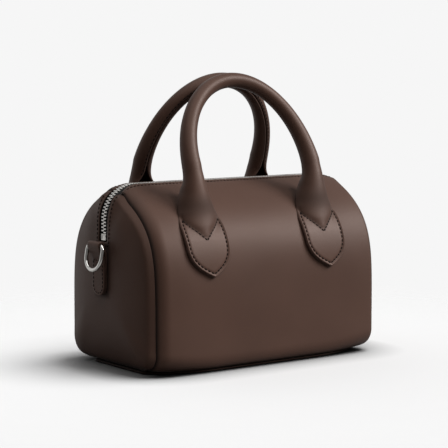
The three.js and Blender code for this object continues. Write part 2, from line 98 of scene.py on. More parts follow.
def addCamera(view):
    data = bpy.data.cameras.new("photoCamera")
    data.lens = view["lens"]
    data.sensor_width = view["sensor"]
    place = Vector(view["place"])
    bpy.context.scene.camera = aimObject("photoCamera", data, place * mm, Vector(view["target"]) - place)


def addLight(lamp, paper):
    # one lamp lights the floor's paper and leaves the bag alone, the others leave the paper alone
    data = bpy.data.lights.new(lamp["name"], "SUN")
    data.angle = math.radians(lamp["spread"])
    data.energy = lamp["power"]
    light = aimObject(lamp["name"], data, lamp["towards"], -Vector(lamp["towards"]))
    linked = bpy.data.collections.new(lamp["name"] + "Paper")
    linked.objects.link(paper)
    light.light_linking.receiver_collection = linked
    linked.collection_objects[0].light_linking.link_state = "INCLUDE" if lamp.get("onPaper") else "EXCLUDE"


def addSky(room):
    world = bpy.data.worlds.new("studioAir")
    world.use_nodes = True
    tree = world.node_tree
    tree.nodes.clear()
    white = (1, 1, 1, 1)
    path = addNode(tree, "LightPath", (-600, 200))
    coords = addNode(tree, "TexCoord", (-1100, -100))
    facing = addNode(tree, "VectorMath", (-900, -100), {1: room["backdropFrom"]}, operation="DOT_PRODUCT")
    glow = addNode(tree, "MapRange", (-600, -100), {
        "From Min": room["glowFrom"], "From Max": room["glowTo"],
        "To Min": room["sky"], "To Max": room["backdrop"]}, interpolation_type="SMOOTHSTEP")
    lit = addNode(tree, "Background", (-300, 0), {"Color": white})
    seen = addNode(tree, "Background", (-300, -150), {"Color": white, "Strength": room["seen"]})
    mix = addNode(tree, "MixShader", (0, 0))
    out = addNode(tree, "OutputWorld", (200, 0))
    joinNodes(
        tree, (coords, "Generated", facing, 0), (facing, "Value", glow, "Value"),
        (glow, "Result", lit, "Strength"), (path, "Is Camera Ray", mix, "Fac"),
        (lit, 0, mix, 1), (seen, 0, mix, 2), (mix, 0, out, "Surface"))
    bpy.context.scene.world = world


def addFloor(room):
    # paper that fades into the backdrop; close under the bag ambient occlusion darkens its colour, a painted
    # contact shadow
    paper = bpy.data.materials.new("floorPaper")
    paper.use_nodes = True
    tree = paper.node_tree
    tree.nodes.clear()
    coords = addNode(tree, "TexCoord", (-900, 0))
    reach = addNode(tree, "VectorMath", (-700, 0), operation="LENGTH")
    fade = addNode(tree, "MapRange", (-500, 0), {"From Min": room["fadeFrom"], "From Max": room["fadeTo"]},
                   interpolation_type="SMOOTHSTEP")
    path = addNode(tree, "LightPath", (-700, 300))
    paint = addNode(tree, "MapRange", (-500, 250), {
        "To Min": room["bounceTone"], "To Max": room["floorTone"]})
    # painted contact shadow: occlusion near the bag darkens the paper's colour
    near = addNode(tree, "AmbientOcclusion", (-700, 500), {"Distance": room["contactReach"] * mm},
                   samples=room["contactSamples"])
    contact = addNode(tree, "Math", (-500, 500), {1: room["contactPower"]}, operation="POWER")
    tone = addNode(tree, "Math", (-300, 350), operation="MULTIPLY")
    matt = addNode(tree, "BsdfDiffuse", (-300, 0))
    clear = addNode(tree, "BsdfTransparent", (-300, -150))
    mix = addNode(tree, "MixShader", (-50, 0))
    out = addNode(tree, "OutputMaterial", (150, 0))
    joinNodes(
        tree, (path, "Is Camera Ray", paint, "Value"), (near, "AO", contact, 0), (contact, 0, tone, 0),
        (paint, "Result", tone, 1), (tone, 0, matt, "Color"), (coords, "Object", reach, 0),
        (reach, "Value", fade, "Value"), (fade, "Result", mix, "Fac"), (matt, 0, mix, 1), (clear, 0, mix, 2),
        (mix, 0, out, "Surface"))
    bm = bmesh.new()
    bmesh.ops.create_grid(bm, x_segments=8, y_segments=8, size=room["floorSize"])
    bmesh.ops.translate(bm, verts=bm.verts, vec=(0, 0, -room["floorDrop"] * mm))
    floor = meshObject("studioFloor", bm, paper)
    return floor


addCamera(cameraView)
addSky(studioRoom)
studioPaper = addFloor(studioRoom)
for studioLight in studioLights:
    addLight(studioLight, studioPaper)
bpy.context.scene.view_settings.view_transform = "Standard"
print("camera, lights and floor")


# Finishes

grainForm = dict(warpDetail=2, cloudDetail=4, poreWide=0.28, pebbleShare=0.6)


def grainGroup(form):
    group = bpy.data.node_groups.new("leatherGrain", "ShaderNodeTree")
    for name, way, kind in (("Vector", "INPUT", "Vector"), ("Pebble Scale", "INPUT", "Float"),
                            ("Cloud Scale", "INPUT", "Float"), ("Height", "OUTPUT", "Float"),
                            ("Cloud", "OUTPUT", "Float"), ("Pore", "OUTPUT", "Float")):
        group.interface.new_socket(name, in_out=way, socket_type="NodeSocket" + kind)
    given = group.nodes.new("NodeGroupInput")
    given.location = (-950, 0)
    made = group.nodes.new("NodeGroupOutput")
    made.location = (250, 0)
    warp = addNode(group, "TexNoise", (-700, -250), {"Detail": form["warpDetail"]})
    cells = addNode(group, "TexVoronoi", (-450, 150), feature="DISTANCE_TO_EDGE")
    edge = addNode(group, "MapRange", (-200, 150), {"From Max": form["poreWide"]},
                   interpolation_type="SMOOTHSTEP")
    cloud = addNode(group, "TexNoise", (-450, -450), {"Detail": form["cloudDetail"]})
    fine = addNode(group, "Math", (0, 0), {1: form["pebbleShare"]}, operation="MULTIPLY_ADD")
    for texture, scale in ((warp, "Pebble Scale"), (cells, "Pebble Scale"), (cloud, "Cloud Scale")):
        joinNodes(group, (given, "Vector", texture, "Vector"), (given, scale, texture, "Scale"))
    joinNodes(
        group, (cells, "Distance", edge, "Value"), (edge, "Result", fine, 0), (warp, "Fac", fine, 2),
        (fine, 0, made, "Height"), (cloud, "Fac", made, "Cloud"), (edge, "Result", made, "Pore"))
    return group


leatherGrain = grainGroup(grainForm)


def newFinish(name, values):
    material = bpy.data.materials.new(name)
    material.use_nodes = True
    shader = material.node_tree.nodes["Principled BSDF"]
    for key, value in values.items():
        shader.inputs[key].default_value = value
    return material, material.node_tree, shader


def addSurface(tree, shader, look, toneFrom, glossFrom, reliefFrom):
    # colour, roughness and relief, each led by the node and output that are given
    low, high = look.get("span", (0, 1))
    tone = addNode(tree, "Mix", (-400, 200), {
        "A": (*look["dark"], 1), "B": (*look["light"], 1)}, data_type="RGBA")
    gloss = addNode(tree, "MapRange", (-400, -50), {
        "From Min": low, "From Max": high, "To Min": look["rough"][0], "To Max": look["rough"][1]})
    relief = addNode(tree, "Bump", (-400, -300), {"Strength": look["bump"], "Distance": look["deep"] * mm})
    joinNodes(
        tree, (*toneFrom, tone, "Factor"), (*glossFrom, gloss, "Value"), (*reliefFrom, relief, "Height"),
        (tone, "Result", shader, "Base Color"), (gloss, "Result", shader, "Roughness"),
        (relief, "Normal", shader, "Normal"))
    return tone, gloss


def leatherFinish(name, dark, light, pebble=1500, cloud=16, rough=(0.57, 0.48)):
    material, tree, shader = newFinish(name, {
        "Specular IOR Level": 0.25, "Specular Tint": (1.0, 0.80, 0.72, 1), "Sheen Weight": 0.04})
    look = dict(dark=dark, light=light, rough=rough, bump=0.10, deep=0.25)
    coords = addNode(tree, "TexCoord", (-1150, 0))
    grain = addNode(tree, "Group", (-900, 0), {
        "Pebble Scale": pebble, "Cloud Scale": cloud}, node_tree=leatherGrain)
    spread = addNode(tree, "MapRange", (-650, 200), {"From Min": 0.3, "From Max": 0.7})
    tone, gloss = addSurface(tree, shader, look, (spread, "Result"), (grain, "Pore"), (grain, "Height"))
    # painted shade: seams, creases and the other places the seamShade attribute marks are darkened and shine less
    shade = addNode(tree, "Attribute", (-400, 450), attribute_name="seamShade")
    deep = addNode(tree, "Mix", (-180, 300), {
        "B": (0.05, 0.04, 0.035, 1)}, data_type="RGBA", blend_type="MULTIPLY")
    matt = addNode(tree, "Mix", (-180, 0), {"B": 0.95}, data_type="FLOAT")
    joinNodes(
        tree, (coords, "Object", grain, "Vector"), (grain, "Cloud", spread, "Value"),
        (tone, "Result", deep, "A"), (shade, "Fac", deep, "Factor"), (deep, "Result", shader, "Base Color"),
        (gloss, "Result", matt, "A"), (shade, "Fac", matt, "Factor"), (matt, "Result", shader, "Roughness"))
    return material


def threadFinish():
    material, tree, shader = newFinish("waxedThread", {"Specular IOR Level": 0.06})
    look = dict(
        dark=(0.004, 0.0026, 0.002), light=(0.013, 0.008, 0.006), rough=(0.8, 0.65), bump=0.3, deep=0.1)
    coords = addNode(tree, "TexCoord", (-900, 0))
    strand = addNode(tree, "TexWave", (-700, 0), {
        "Scale": 700, "Distortion": 1.5}, bands_direction="DIAGONAL")
    joinNodes(tree, (coords, "Object", strand, "Vector"))
    addSurface(tree, shader, look, *[(strand, "Fac")] * 3)
    return material


def nickelFinish(name, dull, bright, rough):
    material, tree, shader = newFinish(name, {"Metallic": 1})
    look = dict(dark=dull, light=bright, rough=rough, span=(0.3, 0.7), bump=0.05, deep=0.05)
    coords = addNode(tree, "TexCoord", (-1100, 0))
    stretch = addNode(tree, "Mapping", (-900, 0), {"Scale": (1, 1, 6)})
    rub = addNode(tree, "TexNoise", (-700, 0), {"Scale": 500, "Detail": 5})
    joinNodes(tree, (coords, "Object", stretch, "Vector"), (stretch, "Vector", rub, "Vector"))
    addSurface(tree, shader, look, *[(rub, "Fac")] * 3)
    return material


def tapeFinish():
    material, tree, shader = newFinish("wovenTape", {"Specular IOR Level": 0.2, "Sheen Weight": 0.1})
    look = dict(
        dark=(0.004, 0.0035, 0.003), light=(0.016, 0.013, 0.011), rough=(0.95, 0.8), bump=0.5, deep=0.15)
    coords = addNode(tree, "UVMap", (-1100, 0), uv_map="weave")
    warp = addNode(tree, "TexWave", (-850, 150), {"Scale": 600}, bands_direction="X")
    weft = addNode(tree, "TexWave", (-850, -150), {"Scale": 450}, bands_direction="Y")
    weave = addNode(tree, "Math", (-620, 0), operation="MULTIPLY")
    joinNodes(
        tree, (coords, "UV", warp, "Vector"), (coords, "UV", weft, "Vector"),
        (warp, "Fac", weave, 0), (weft, "Fac", weave, 1))
    addSurface(tree, shader, look, *[(weave, 0)] * 3)
    return material


bodyLeather = leatherFinish("bodyLeather", (0.053, 0.0262, 0.0180), (0.062, 0.0305, 0.0210))
# endLeather is bodyLeather made a little darker: painted shade on the end panels
endLeather = leatherFinish("endLeather", (0.050, 0.0248, 0.0170), (0.058, 0.0285, 0.0195), cloud=20)
# tabLeather is bodyLeather made lighter: painted light on the ring tabs
tabLeather = leatherFinish("tabLeather", (0.058, 0.0288, 0.0198), (0.068, 0.0335, 0.0230), cloud=24)
handleLeather = leatherFinish("handleLeather", (0.051, 0.0252, 0.0172), (0.061, 0.030, 0.0205),
                              pebble=1700, cloud=30, rough=(0.51, 0.42))
# baseLeather is far darker than bodyLeather: painted shade for the board under the bag
baseLeather = leatherFinish("baseLeather", (0.024, 0.0125, 0.0088), (0.031, 0.016, 0.0112), rough=(0.62, 0.5))
threadBrown = threadFinish()
ringNickel = nickelFinish("ringNickel", (0.66, 0.64, 0.61), (0.74, 0.72, 0.69), (0.10, 0.20))
toothNickel = nickelFinish("toothNickel", (0.58, 0.56, 0.53), (0.70, 0.68, 0.65), (0.24, 0.36))
tapeBlack = tapeFinish()
print("finishes")


# Helpers that every piece uses

def smoothstep(low, high, value):
    t = min(1.0, max(0.0, (value - low) / (high - low)))
    return t * t * (3 - 2 * t)


def lerp(a, b, t):
    return a + (b - a) * t


def bell(away, width):
    return math.exp(-((away / width) ** 2))


def arcRun(middle, radius, angles):
    return [(middle[0] + radius * math.cos(a), middle[1] + radius * math.sin(a)) for a in angles]


def unitRows(rows):
    return rows / np.linalg.norm(rows, axis=1)[:, None]


def reachAlong(points):
    return np.concatenate([[0], np.cumsum(np.linalg.norm(np.diff(points, axis=0), axis=1))])


def pointsAt(points, reach, at):
    return np.stack([np.interp(at, reach, column) for column in points.T], -1)


lookAhead = 0.4  # to either side for a direction, in millimetres of a curve or pitches of a run


def evenly(curve, shares):
    # points of a curve at given shares of its length, the way along it there, and its length
    reach = reachAlong(curve)
    at = np.array(shares) * reach[-1]
    ahead, behind = (pointsAt(curve, reach, at + step) for step in (lookAhead, -lookAhead))
    return pointsAt(curve, reach, at), unitRows(ahead - behind), reach[-1]


def walk(points, pitch):
    # places along a run of points, one pitch apart, each with its direction
    points = np.array(points, dtype=float)
    reach = reachAlong(points)
    count = max(1, int(round(reach[-1] / pitch)))
    step = reach[-1] / count
    for i in range(count):
        at = (i + 0.5) * step
        ahead, behind = (pointsAt(points, reach, at + share * step) for share in (lookAhead, -lookAhead))
        yield pointsAt(points, reach, at), ahead - behind


def gridMesh(columns, rows, place, uvName=None):
    # a flat grid whose points are carried to their places, column and row given as whole numbers
    bm = bmesh.new()
    # every point carries its painted shade in the seamShade attribute
    shade = bm.verts.layers.float.new("seamShade")
    bmesh.ops.create_grid(bm, x_segments=columns, y_segments=rows, size=1)
    uv = bm.loops.layers.uv.new(uvName) if uvName else None
    flatSpots = {}
    for vert in bm.verts:
        column = round((vert.co.x + 1) / 2 * columns)
        row = round((vert.co.y + 1) / 2 * rows)
        point, vert[shade], flatSpots[vert] = place(column, row)
        vert.co = Vector(point) * mm
    if uv:
        for loop in (loop for face in bm.faces for loop in face.loops):
            loop[uv].uv = Vector(flatSpots[loop.vert]) * mm
    return bm


def faceAway(bm):
    # turns the whole skin over if it faces the middle of the bag
    bm.normal_update()
    towards = bagMiddle * mm
    if sum(face.normal.dot(face.calc_center_median() - towards) * face.calc_area() for face in bm.faces) < 0:
        bmesh.ops.reverse_faces(bm, faces=bm.faces)


def closeSkin(bm, gap):
    # joins the sides of a grid, caps its ends and turns its faces outwards
    bmesh.ops.remove_doubles(bm, verts=bm.verts, dist=gap * mm)
    bmesh.ops.holes_fill(bm, edges=[edge for edge in bm.edges if edge.is_boundary], sides=0)
    bmesh.ops.recalc_face_normals(bm, faces=bm.faces)


def mirrorLeft(bm):
    bmesh.ops.scale(bm, verts=bm.verts, vec=(-1, 1, 1))
    bmesh.ops.reverse_faces(bm, faces=bm.faces)


def finishPiece(name, bm, material, body="bag", stands=(), wall=0, smooth=True):
    piece = meshObject(name, bm, material)
    for polygon in piece.data.polygons:
        polygon.use_smooth = smooth
    if wall:
        skin = piece.modifiers.new("wall", "SOLIDIFY")
        skin.thickness = wall * mm
        skin.offset = -1
    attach(piece, body)
    if stands:
        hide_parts(*stands)
    return piece


threadForm = dict(around=6, along=5, flatness=0.8)


def addStitch(bm, place, along, up, length, radius):
    along = Vector(along).normalized()
    up = Vector(up)
    up = (up - along * up.dot(along)).normalized()
    turn = Matrix((along, up.cross(along), up)).transposed().to_4x4()
    form = threadForm
    size = Matrix.Diagonal((length / 2 * mm, radius * mm, radius * form["flatness"] * mm, 1))
    spot = Matrix.Translation(Vector(place) * mm) @ turn @ size
    bmesh.ops.create_uvsphere(bm, u_segments=form["around"], v_segments=form["along"], radius=1, matrix=spot)


def sewRun(bm, run, cut):
    # stitches along a run of points, each followed by the way out of the leather
    for spot, direction in walk(run, cut["stitchPitch"]):
        up = Vector(spot[3:])
        place = Vector(spot[:3]) + up * cut["stitchLift"]
        addStitch(bm, place, direction[:3], up, cut["stitchLength"], cut["stitchRadius"])


# Form of the body, shared by the panels, the base and the shields

bodyForm = dict(
    seamX=97.0, halfDepth=56.0, belly=0.6, bellyPower=4,
    ridgeZ=131.7, leanZ=20.0, ridgeHalf=2.0, leanPower=4.9, ridgePower=1.107,
    slotHalf=4.8, slotBottom=91.5, creaseZ=2.3,
    ridgeLift=1.1, ridgeDroop=0.35, ridgeReach=22.0, valleyDroop=0.4, valleyFrom=0.5, valleyReach=5.0,
    cornerMid=(6.0, 10.0), cornerEnd=(18.1, 15.5), cornerStart=50.0, cornerGrowth=1.5,
    cornerSteps=24, wallSteps=160,
)
zipBend = dict(x=82.0, z=106.2, radius=25.5)


def bodyDepth(x):
    form = bodyForm
    return form["halfDepth"] + form["belly"] * (1 - abs(x / form["seamX"]) ** form["bellyPower"])


def zipDrop(x):
    past = max(0.0, abs(x) - zipBend["x"])
    return zipBend["radius"] - math.sqrt(zipBend["radius"] ** 2 - past ** 2)


def wallPoint(x, z, full=None):
    # depth and height of the leaning wall, lifted beside the zip and drooping where the zip bends down
    form = bodyForm
    slot, ridge = form["slotHalf"], form["ridgeHalf"]
    rise = max(0.0, (z - form["leanZ"]) / (form["ridgeZ"] - form["leanZ"]))
    lean = max(0.0, 1 - rise ** form["leanPower"]) ** (1 / form["ridgePower"])
    depth = ridge + ((full or bodyDepth(x)) - ridge) * lean
    near = 1 - smoothstep(slot, slot + form["ridgeReach"], depth)
    valley = 1 - smoothstep(slot + form["valleyFrom"], slot + form["valleyReach"], depth)
    droop = near * form["ridgeDroop"] + valley * form["valleyDroop"]
    return depth, z + near * form["ridgeLift"] - droop * zipDrop(x)


def slotEdgeHeight(half, full):
    form = bodyForm
    lean = ((half - form["ridgeHalf"]) / (full - form["ridgeHalf"])) ** form["ridgePower"]
    return form["leanZ"] + (form["ridgeZ"] - form["leanZ"]) * (1 - lean) ** (1 / form["leanPower"])


def sectionCurve(x, slotHalf, full=None):
    # depth and height from the crease at the base up to the zip's slot
    form = bodyForm
    past = max(0.0, (abs(x) - form["cornerStart"]) / (form["seamX"] - form["cornerStart"]))
    ramp = past ** form["cornerGrowth"]
    inward, upward = (lerp(mid, end, ramp) for mid, end in zip(form["cornerMid"], form["cornerEnd"]))
    depth = full or bodyDepth(x)
    low = form["creaseZ"] + upward
    high = slotEdgeHeight(slotHalf, depth)
    curve = []
    for i in range(form["cornerSteps"]):
        angle = i / form["cornerSteps"] * math.pi / 2
        curve.append((depth - inward * (1 - math.sin(angle)), low - upward * math.cos(angle)))
    for i in range(form["wallSteps"] + 1):
        curve.append(wallPoint(x, lerp(low, high, i / form["wallSteps"]), depth))
    return np.array(curve)


# Front and back panels

panelCut = dict(
    columns=60, edgeColumns=14, columnGrowth=0.9, rows=84, topFrom=0.955, topRows=18, wall=0.9,
    topEase=0.45, topCalm=(2.0, 16.0), footEase=0.65, footCalm=(4.0, 28.0),
    turnIn=3.2, topRoll=1.0, rollTurns=(30, 60, 90), topTuck=1.2, footTuck=3.0, footTuckUp=0.05,
    rollShade=0.2, topTuckShade=0.6, footTuckShade=0.8,
    grooveDeep=0.22, grooveWide=0.55, seamShade=0.95, seamShadeWide=1.5, footShade=0.3, footShadeWide=3.0,
    stitchIn=3.4, stitchPitch=3.0, stitchLength=2.2, stitchRadius=0.42, stitchFromSeam=3.0, stitchLift=0.16,
    # the leather isn't quite flat: height of a wave and its two slanting runs
    waves=[(0.20, ((15.0, 26.0, 0.6), (-38.0, 13.0, 1.1))), (0.05, ((8.5, -11.0, 2.0), (21.0, 7.5, 0.0)))],
    waveTop=(4.0, 20.0), waveSeam=(3.0, 18.0), waveFoot=(6.0, 30.0),
)
tightSeam = dict(edgeX=96.8, pullRun=27.0, pullDip=1.9, rollRadius=9.5, rollDip=4.4, rollIn=2.2, rollOut=1.15)
fullSeam = dict(edgeX=96.8, pullRun=25.0, pullDip=0.9, rollRadius=4.0, rollDip=2.0, rollIn=2.0, rollOut=2.0)
rightSeam = dict(fullSeam, edgeX=96.4)
panelSeams = {-1: (tightSeam, rightSeam), 1: (fullSeam, rightSeam)}  # left and right edge, front and back


def seamDip(seam, x):
    # how far the stitched end seam pulls the leather in
    away = seam["edgeX"] - x
    pull = seam["pullDip"] * max(0.0, 1 - away / seam["pullRun"]) ** 2
    over = max(0.0, 1 - away / seam["rollRadius"])
    return pull + seam["rollDip"] * (1 - max(0.0, 1 - over ** seam["rollIn"]) ** (1 / seam["rollOut"]))


def halfColumns(cut, seam):
    # stations from the middle to one seam, each with its distance from the seam and the skin's dip
    flat = seam["edgeX"] - seam["rollRadius"]
    turns = [i / cut["columns"] * math.pi / 2 for i in range(cut["columns"] + 1)]
    half = [flat * math.sin(turn) ** cut["columnGrowth"] for turn in turns]
    turns = [i / cut["edgeColumns"] * math.pi / 2 for i in range(1, cut["edgeColumns"] + 1)]
    half += [flat + seam["rollRadius"] * math.sin(turn) for turn in turns]
    half = [(x, seam["edgeX"] - x, seamDip(seam, x)) for x in half]
    return half + [(seam["edgeX"], 0.0, half[-1][2] + cut["turnIn"])]


def panelColumns(cut, side):
    left, right = panelSeams[side]
    leftHalf = [(-x, away, dip) for x, away, dip in halfColumns(cut, left)]
    return leftHalf[:0:-1] + halfColumns(cut, right)


def panelRows(cut):
    shares = [i / cut["rows"] for i in range(cut["rows"])]
    top = [lerp(cut["topFrom"], 1, i / cut["topRows"]) for i in range(cut["topRows"] + 1)]
    return [share for share in shares if share < cut["topFrom"]] + top


def leatherWaves(cut, x, z):
    total = 0.0
    for height, runs in cut["waves"]:
        total += height * math.prod(math.sin(x / a + z / b + c) for a, b, c in runs)
    return total


def panelColumn(cut, x, fromSeam, dip):
    # one column of a panel's skin as depth, height and painted shade, from under the base up to the zip
    shares = panelRows(cut)
    points, along, length = evenly(sectionCurve(x, bodyForm["slotHalf"] + cut["topRoll"]), shares)
    column = []
    for (depth, z), (runD, runZ), share in zip(points, along, shares):
        fromFoot = share * length
        fromTop = length - fromFoot
        calm = 1 - cut["topEase"] * (1 - smoothstep(*cut["topCalm"], fromTop))
        calm *= 1 - cut["footEase"] * (1 - smoothstep(*cut["footCalm"], fromFoot))
        waves = leatherWaves(cut, x, z) * smoothstep(*cut["waveTop"], fromTop)
        waves *= smoothstep(*cut["waveSeam"], fromSeam) * smoothstep(*cut["waveFoot"], fromFoot)
        groove = cut["grooveDeep"] * bell(fromTop + cut["topRoll"] - cut["stitchIn"], cut["grooveWide"])
        sink = dip * calm + groove + waves
        # painted shade in the seam's groove and along the foot
        dark = cut["seamShade"] * bell(fromSeam, cut["seamShadeWide"])
        dark += cut["footShade"] * bell(fromFoot, cut["footShadeWide"])
        column.append((depth - runZ * sink, z + runD * sink, min(1.0, dark)))
    # the edge beside the zip rolls over and turns in, and so does the foot; these hidden turns get painted shade
    runD, runZ = along[-1]
    topDepth, topZ, dark = column[-1]
    for degrees in cut["rollTurns"]:
        ahead = cut["topRoll"] * math.sin(math.radians(degrees))
        sunk = cut["topRoll"] * (1 - math.cos(math.radians(degrees)))
        spot = (topDepth + runD * ahead - runZ * sunk, topZ + runZ * ahead + runD * sunk)
        column.append((*spot, cut["rollShade"]))
    depth, z, dark = column[-1]
    column.append((depth - runZ * cut["topTuck"], z + runD * cut["topTuck"], cut["topTuckShade"]))
    depth, z, dark = column[0]
    return [(depth - cut["footTuck"], z + cut["footTuckUp"], cut["footTuckShade"])] + column


def plainColumn(cut, x, fromSeam, dip):
    # the same without its painted shade and its turned edges
    return np.array(panelColumn(cut, x, fromSeam, dip)[1:-4])[:, :2]


def makePanel(name, node, side, cut):
    skin = [(x, panelColumn(cut, x, fromSeam, dip)) for x, fromSeam, dip in panelColumns(cut, side)]

    def place(column, row):
        x, spots = skin[column]
        depth, z, dark = spots[row]
        return (x, side * depth, z), dark, (x, z)

    bm = gridMesh(len(skin) - 1, len(skin[0][1]) - 1, place)
    faceAway(bm)
    finishPiece(name, bm, bodyLeather, stands=(node,), wall=cut["wall"])


def makePanelStitches(name, side, cut):
    run = []
    for x, fromSeam, dip in panelColumns(cut, side):
        if fromSeam >= cut["stitchFromSeam"]:
            skin = plainColumn(cut, x, fromSeam, dip)
            share = 1 - (cut["stitchIn"] - cut["topRoll"]) / reachAlong(skin)[-1]
            [(depth, z)], [(runD, runZ)] = evenly(skin, [share])[:2]
            run.append((x, side * depth, z, 0.0, side * runZ, -runD))
    bm = bmesh.new()
    sewRun(bm, run, cut)
    finishPiece(name, bm, threadBrown)


makePanel("front_panel_skin", "front_panel", -1, panelCut)
makePanel("back_panel_skin", "back_panel", 1, panelCut)
makePanelStitches("front_zip_stitches", -1, panelCut)
makePanelStitches("back_zip_stitches", 1, panelCut)
print("front and back panels")


# End panels

# the ring tabs are made further down, the ends only need their place for the painted shade round them
tabCut = dict(
    backX=109.5, layer=1.3, half=7.8, bottomZ=53.6, cornerR=7.2, loopX=114.0, loopZ=89.5, loopR=2.7,
    backTop=80.0, backRise=[(0.1, 82.5), (0.45, 85.0)], bendZ=88.2, bendShare=0.985, loopTurn=(172, -28),
    noseIn=0.9, noseZ=85.9, frontFall=[(1.9, 83.6), (0.7, 81.6), (0.12, 79.8)], frontTop=78.4, frontGap=0.15,
    runSteps=22, count=150, smoothing=6, across=15, lip=0.45, lipSteps=7, lipIn=0.02, leastHalf=0.15,
    pad=0.18, lipShade=0.5, backShade=0.4, weld=0.003,
    stitchTurn=(-0.15, -1.57), stitchSteps=(20, 9, 10),
    stitchTop=78.5, stitchIn=1.8, stitchPitch=2.8, stitchLength=2.1, stitchRadius=0.42, stitchLift=0.3,
)

endCut = dict(
    runTop=20.0, runSide=32.0, runBlend=(0.55, 0.95), centreZ=62.0, zipCalm=(0.5, 6.0), zipSink=-0.5,
    zipSpare=0.5, crownBlend=(0.1, 0.7), outlineCount=720, tableCount=1441, tableSoft=40,
    columns=96, rows=100, rowsBelow=62, rowGrowth=1.15, slotShare=0.14, slotBlend=34.0,
    weld=0.02, smoothing=8, smoothBy=0.5, slotSlack=0.01, slotEdge=(0.4, 0.3), slotTuck=-0.3,
    turns=[(0.4, 0.5), (0.3, 1.0), (0.2, 2.0)], wall=0.9,  # each turn of the rim goes back and in
    footShade=0.5, rimShade=0.24, rimShadeWide=7.0, tabShade=0.55, shadeWide=1.6,
    stitchIn=2.8, stitchTop=1.2, stitchBend=2.5, stitchTurn=(-0.2, -1.5), stitchGap=0.5,
    stitchSteps=(40, 7, 14), stitchPitch=3.0, stitchLength=2.2, stitchRadius=0.42, stitchLift=0.12, slopeStep=0.5,
)
leftEndCut = dict(endCut, side=-1, edgeX=97.0, rise=6.8, crown=1.4, rimRise=3.8, rimRun=3.2)
rightEndCut = dict(endCut, side=1, edgeX=96.6, rise=10.2, crown=1.9, rimRise=0.3, rimRun=4.5)


def endSection(cut, panelSide):
    # the panel's edge along the end seam as depth and height
    return plainColumn(panelCut, *panelColumns(panelCut, panelSide)[1 if cut["side"] < 0 else -2])


def endTables(cut):
    # distance of the seam from the centre of the end, room inside it and run of the dome, by angle
    back, front = endSection(cut, 1), endSection(cut, -1)
    ring = [(0.0, back[0][1]), *back, (0.0, back[-1][1])]
    ring += [(-depth, z) for depth, z in front[::-1]]
    ring = np.array(ring + [ring[0]])
    points, along = evenly(ring, np.linspace(0, 1, cut["outlineCount"], endpoint=False))[:2]
    away = points - np.array([0, cut["centreZ"]])
    angle = np.arctan2(away[:, 0], away[:, 1])
    radius = np.linalg.norm(away, axis=1)
    reach = np.abs(away[:, 0] * along[:, 1] - away[:, 1] * along[:, 0])
    upward = np.where(points[:, 1] > cut["centreZ"], np.abs(along[:, 0]), 0)
    blend = np.array([smoothstep(*cut["runBlend"], share) for share in upward])
    run = lerp(cut["runSide"], cut["runTop"], blend)
    order = np.argsort(angle)
    grid = np.linspace(-math.pi, math.pi, cut["tableCount"])
    tables = [table[order] for table in (radius, reach, run)]
    tables = [np.interp(grid, angle[order], table, period=2 * math.pi) for table in tables]
    soft = cut["tableSoft"]
    kernel = np.exp(-np.linspace(-2, 2, 2 * soft + 1) ** 2)
    kernel /= kernel.sum()
    for k in (1, 2):
        padded = np.concatenate([tables[k][-soft - 1:-1], tables[k], tables[k][1:soft + 1]])
        tables[k] = np.convolve(padded, kernel, mode="valid")
    return [grid, *tables]


def domeReach(tables, cut, y, z):
    # how far out the dome is at a place of the end, level with the teeth beside the zip
    form, bend = bodyForm, zipBend
    angle = math.atan2(y, z - cut["centreZ"])
    radius, reach, run = (np.interp(angle, tables[0], table) for table in tables[1:])
    share = min(1.0, math.hypot(y, z - cut["centreZ"]) / radius)
    fromRim = (1 - share) * reach
    arc = (run ** 2 + cut["rise"] ** 2) / (2 * cut["rise"])
    height = math.sqrt(arc ** 2 - (run - min(run, fromRim)) ** 2) - (arc - cut["rise"])
    rim = cut["rimRise"] * (1 - max(0.0, 1 - fromRim / cut["rimRun"]) ** 2)
    free = cut["edgeX"] + height + cut["crown"] * (1 - smoothstep(*cut["crownBlend"], share)) + rim
    if z <= form["slotBottom"]:
        return free
    lift = min(bend["radius"] - cut["zipSpare"], max(0.0, z - bend["z"]))
    beside = bend["x"] + math.sqrt(bend["radius"] ** 2 - lift ** 2) - cut["zipSink"]
    return lerp(min(free, beside), free, smoothstep(*cut["zipCalm"], abs(y) - form["slotHalf"]))


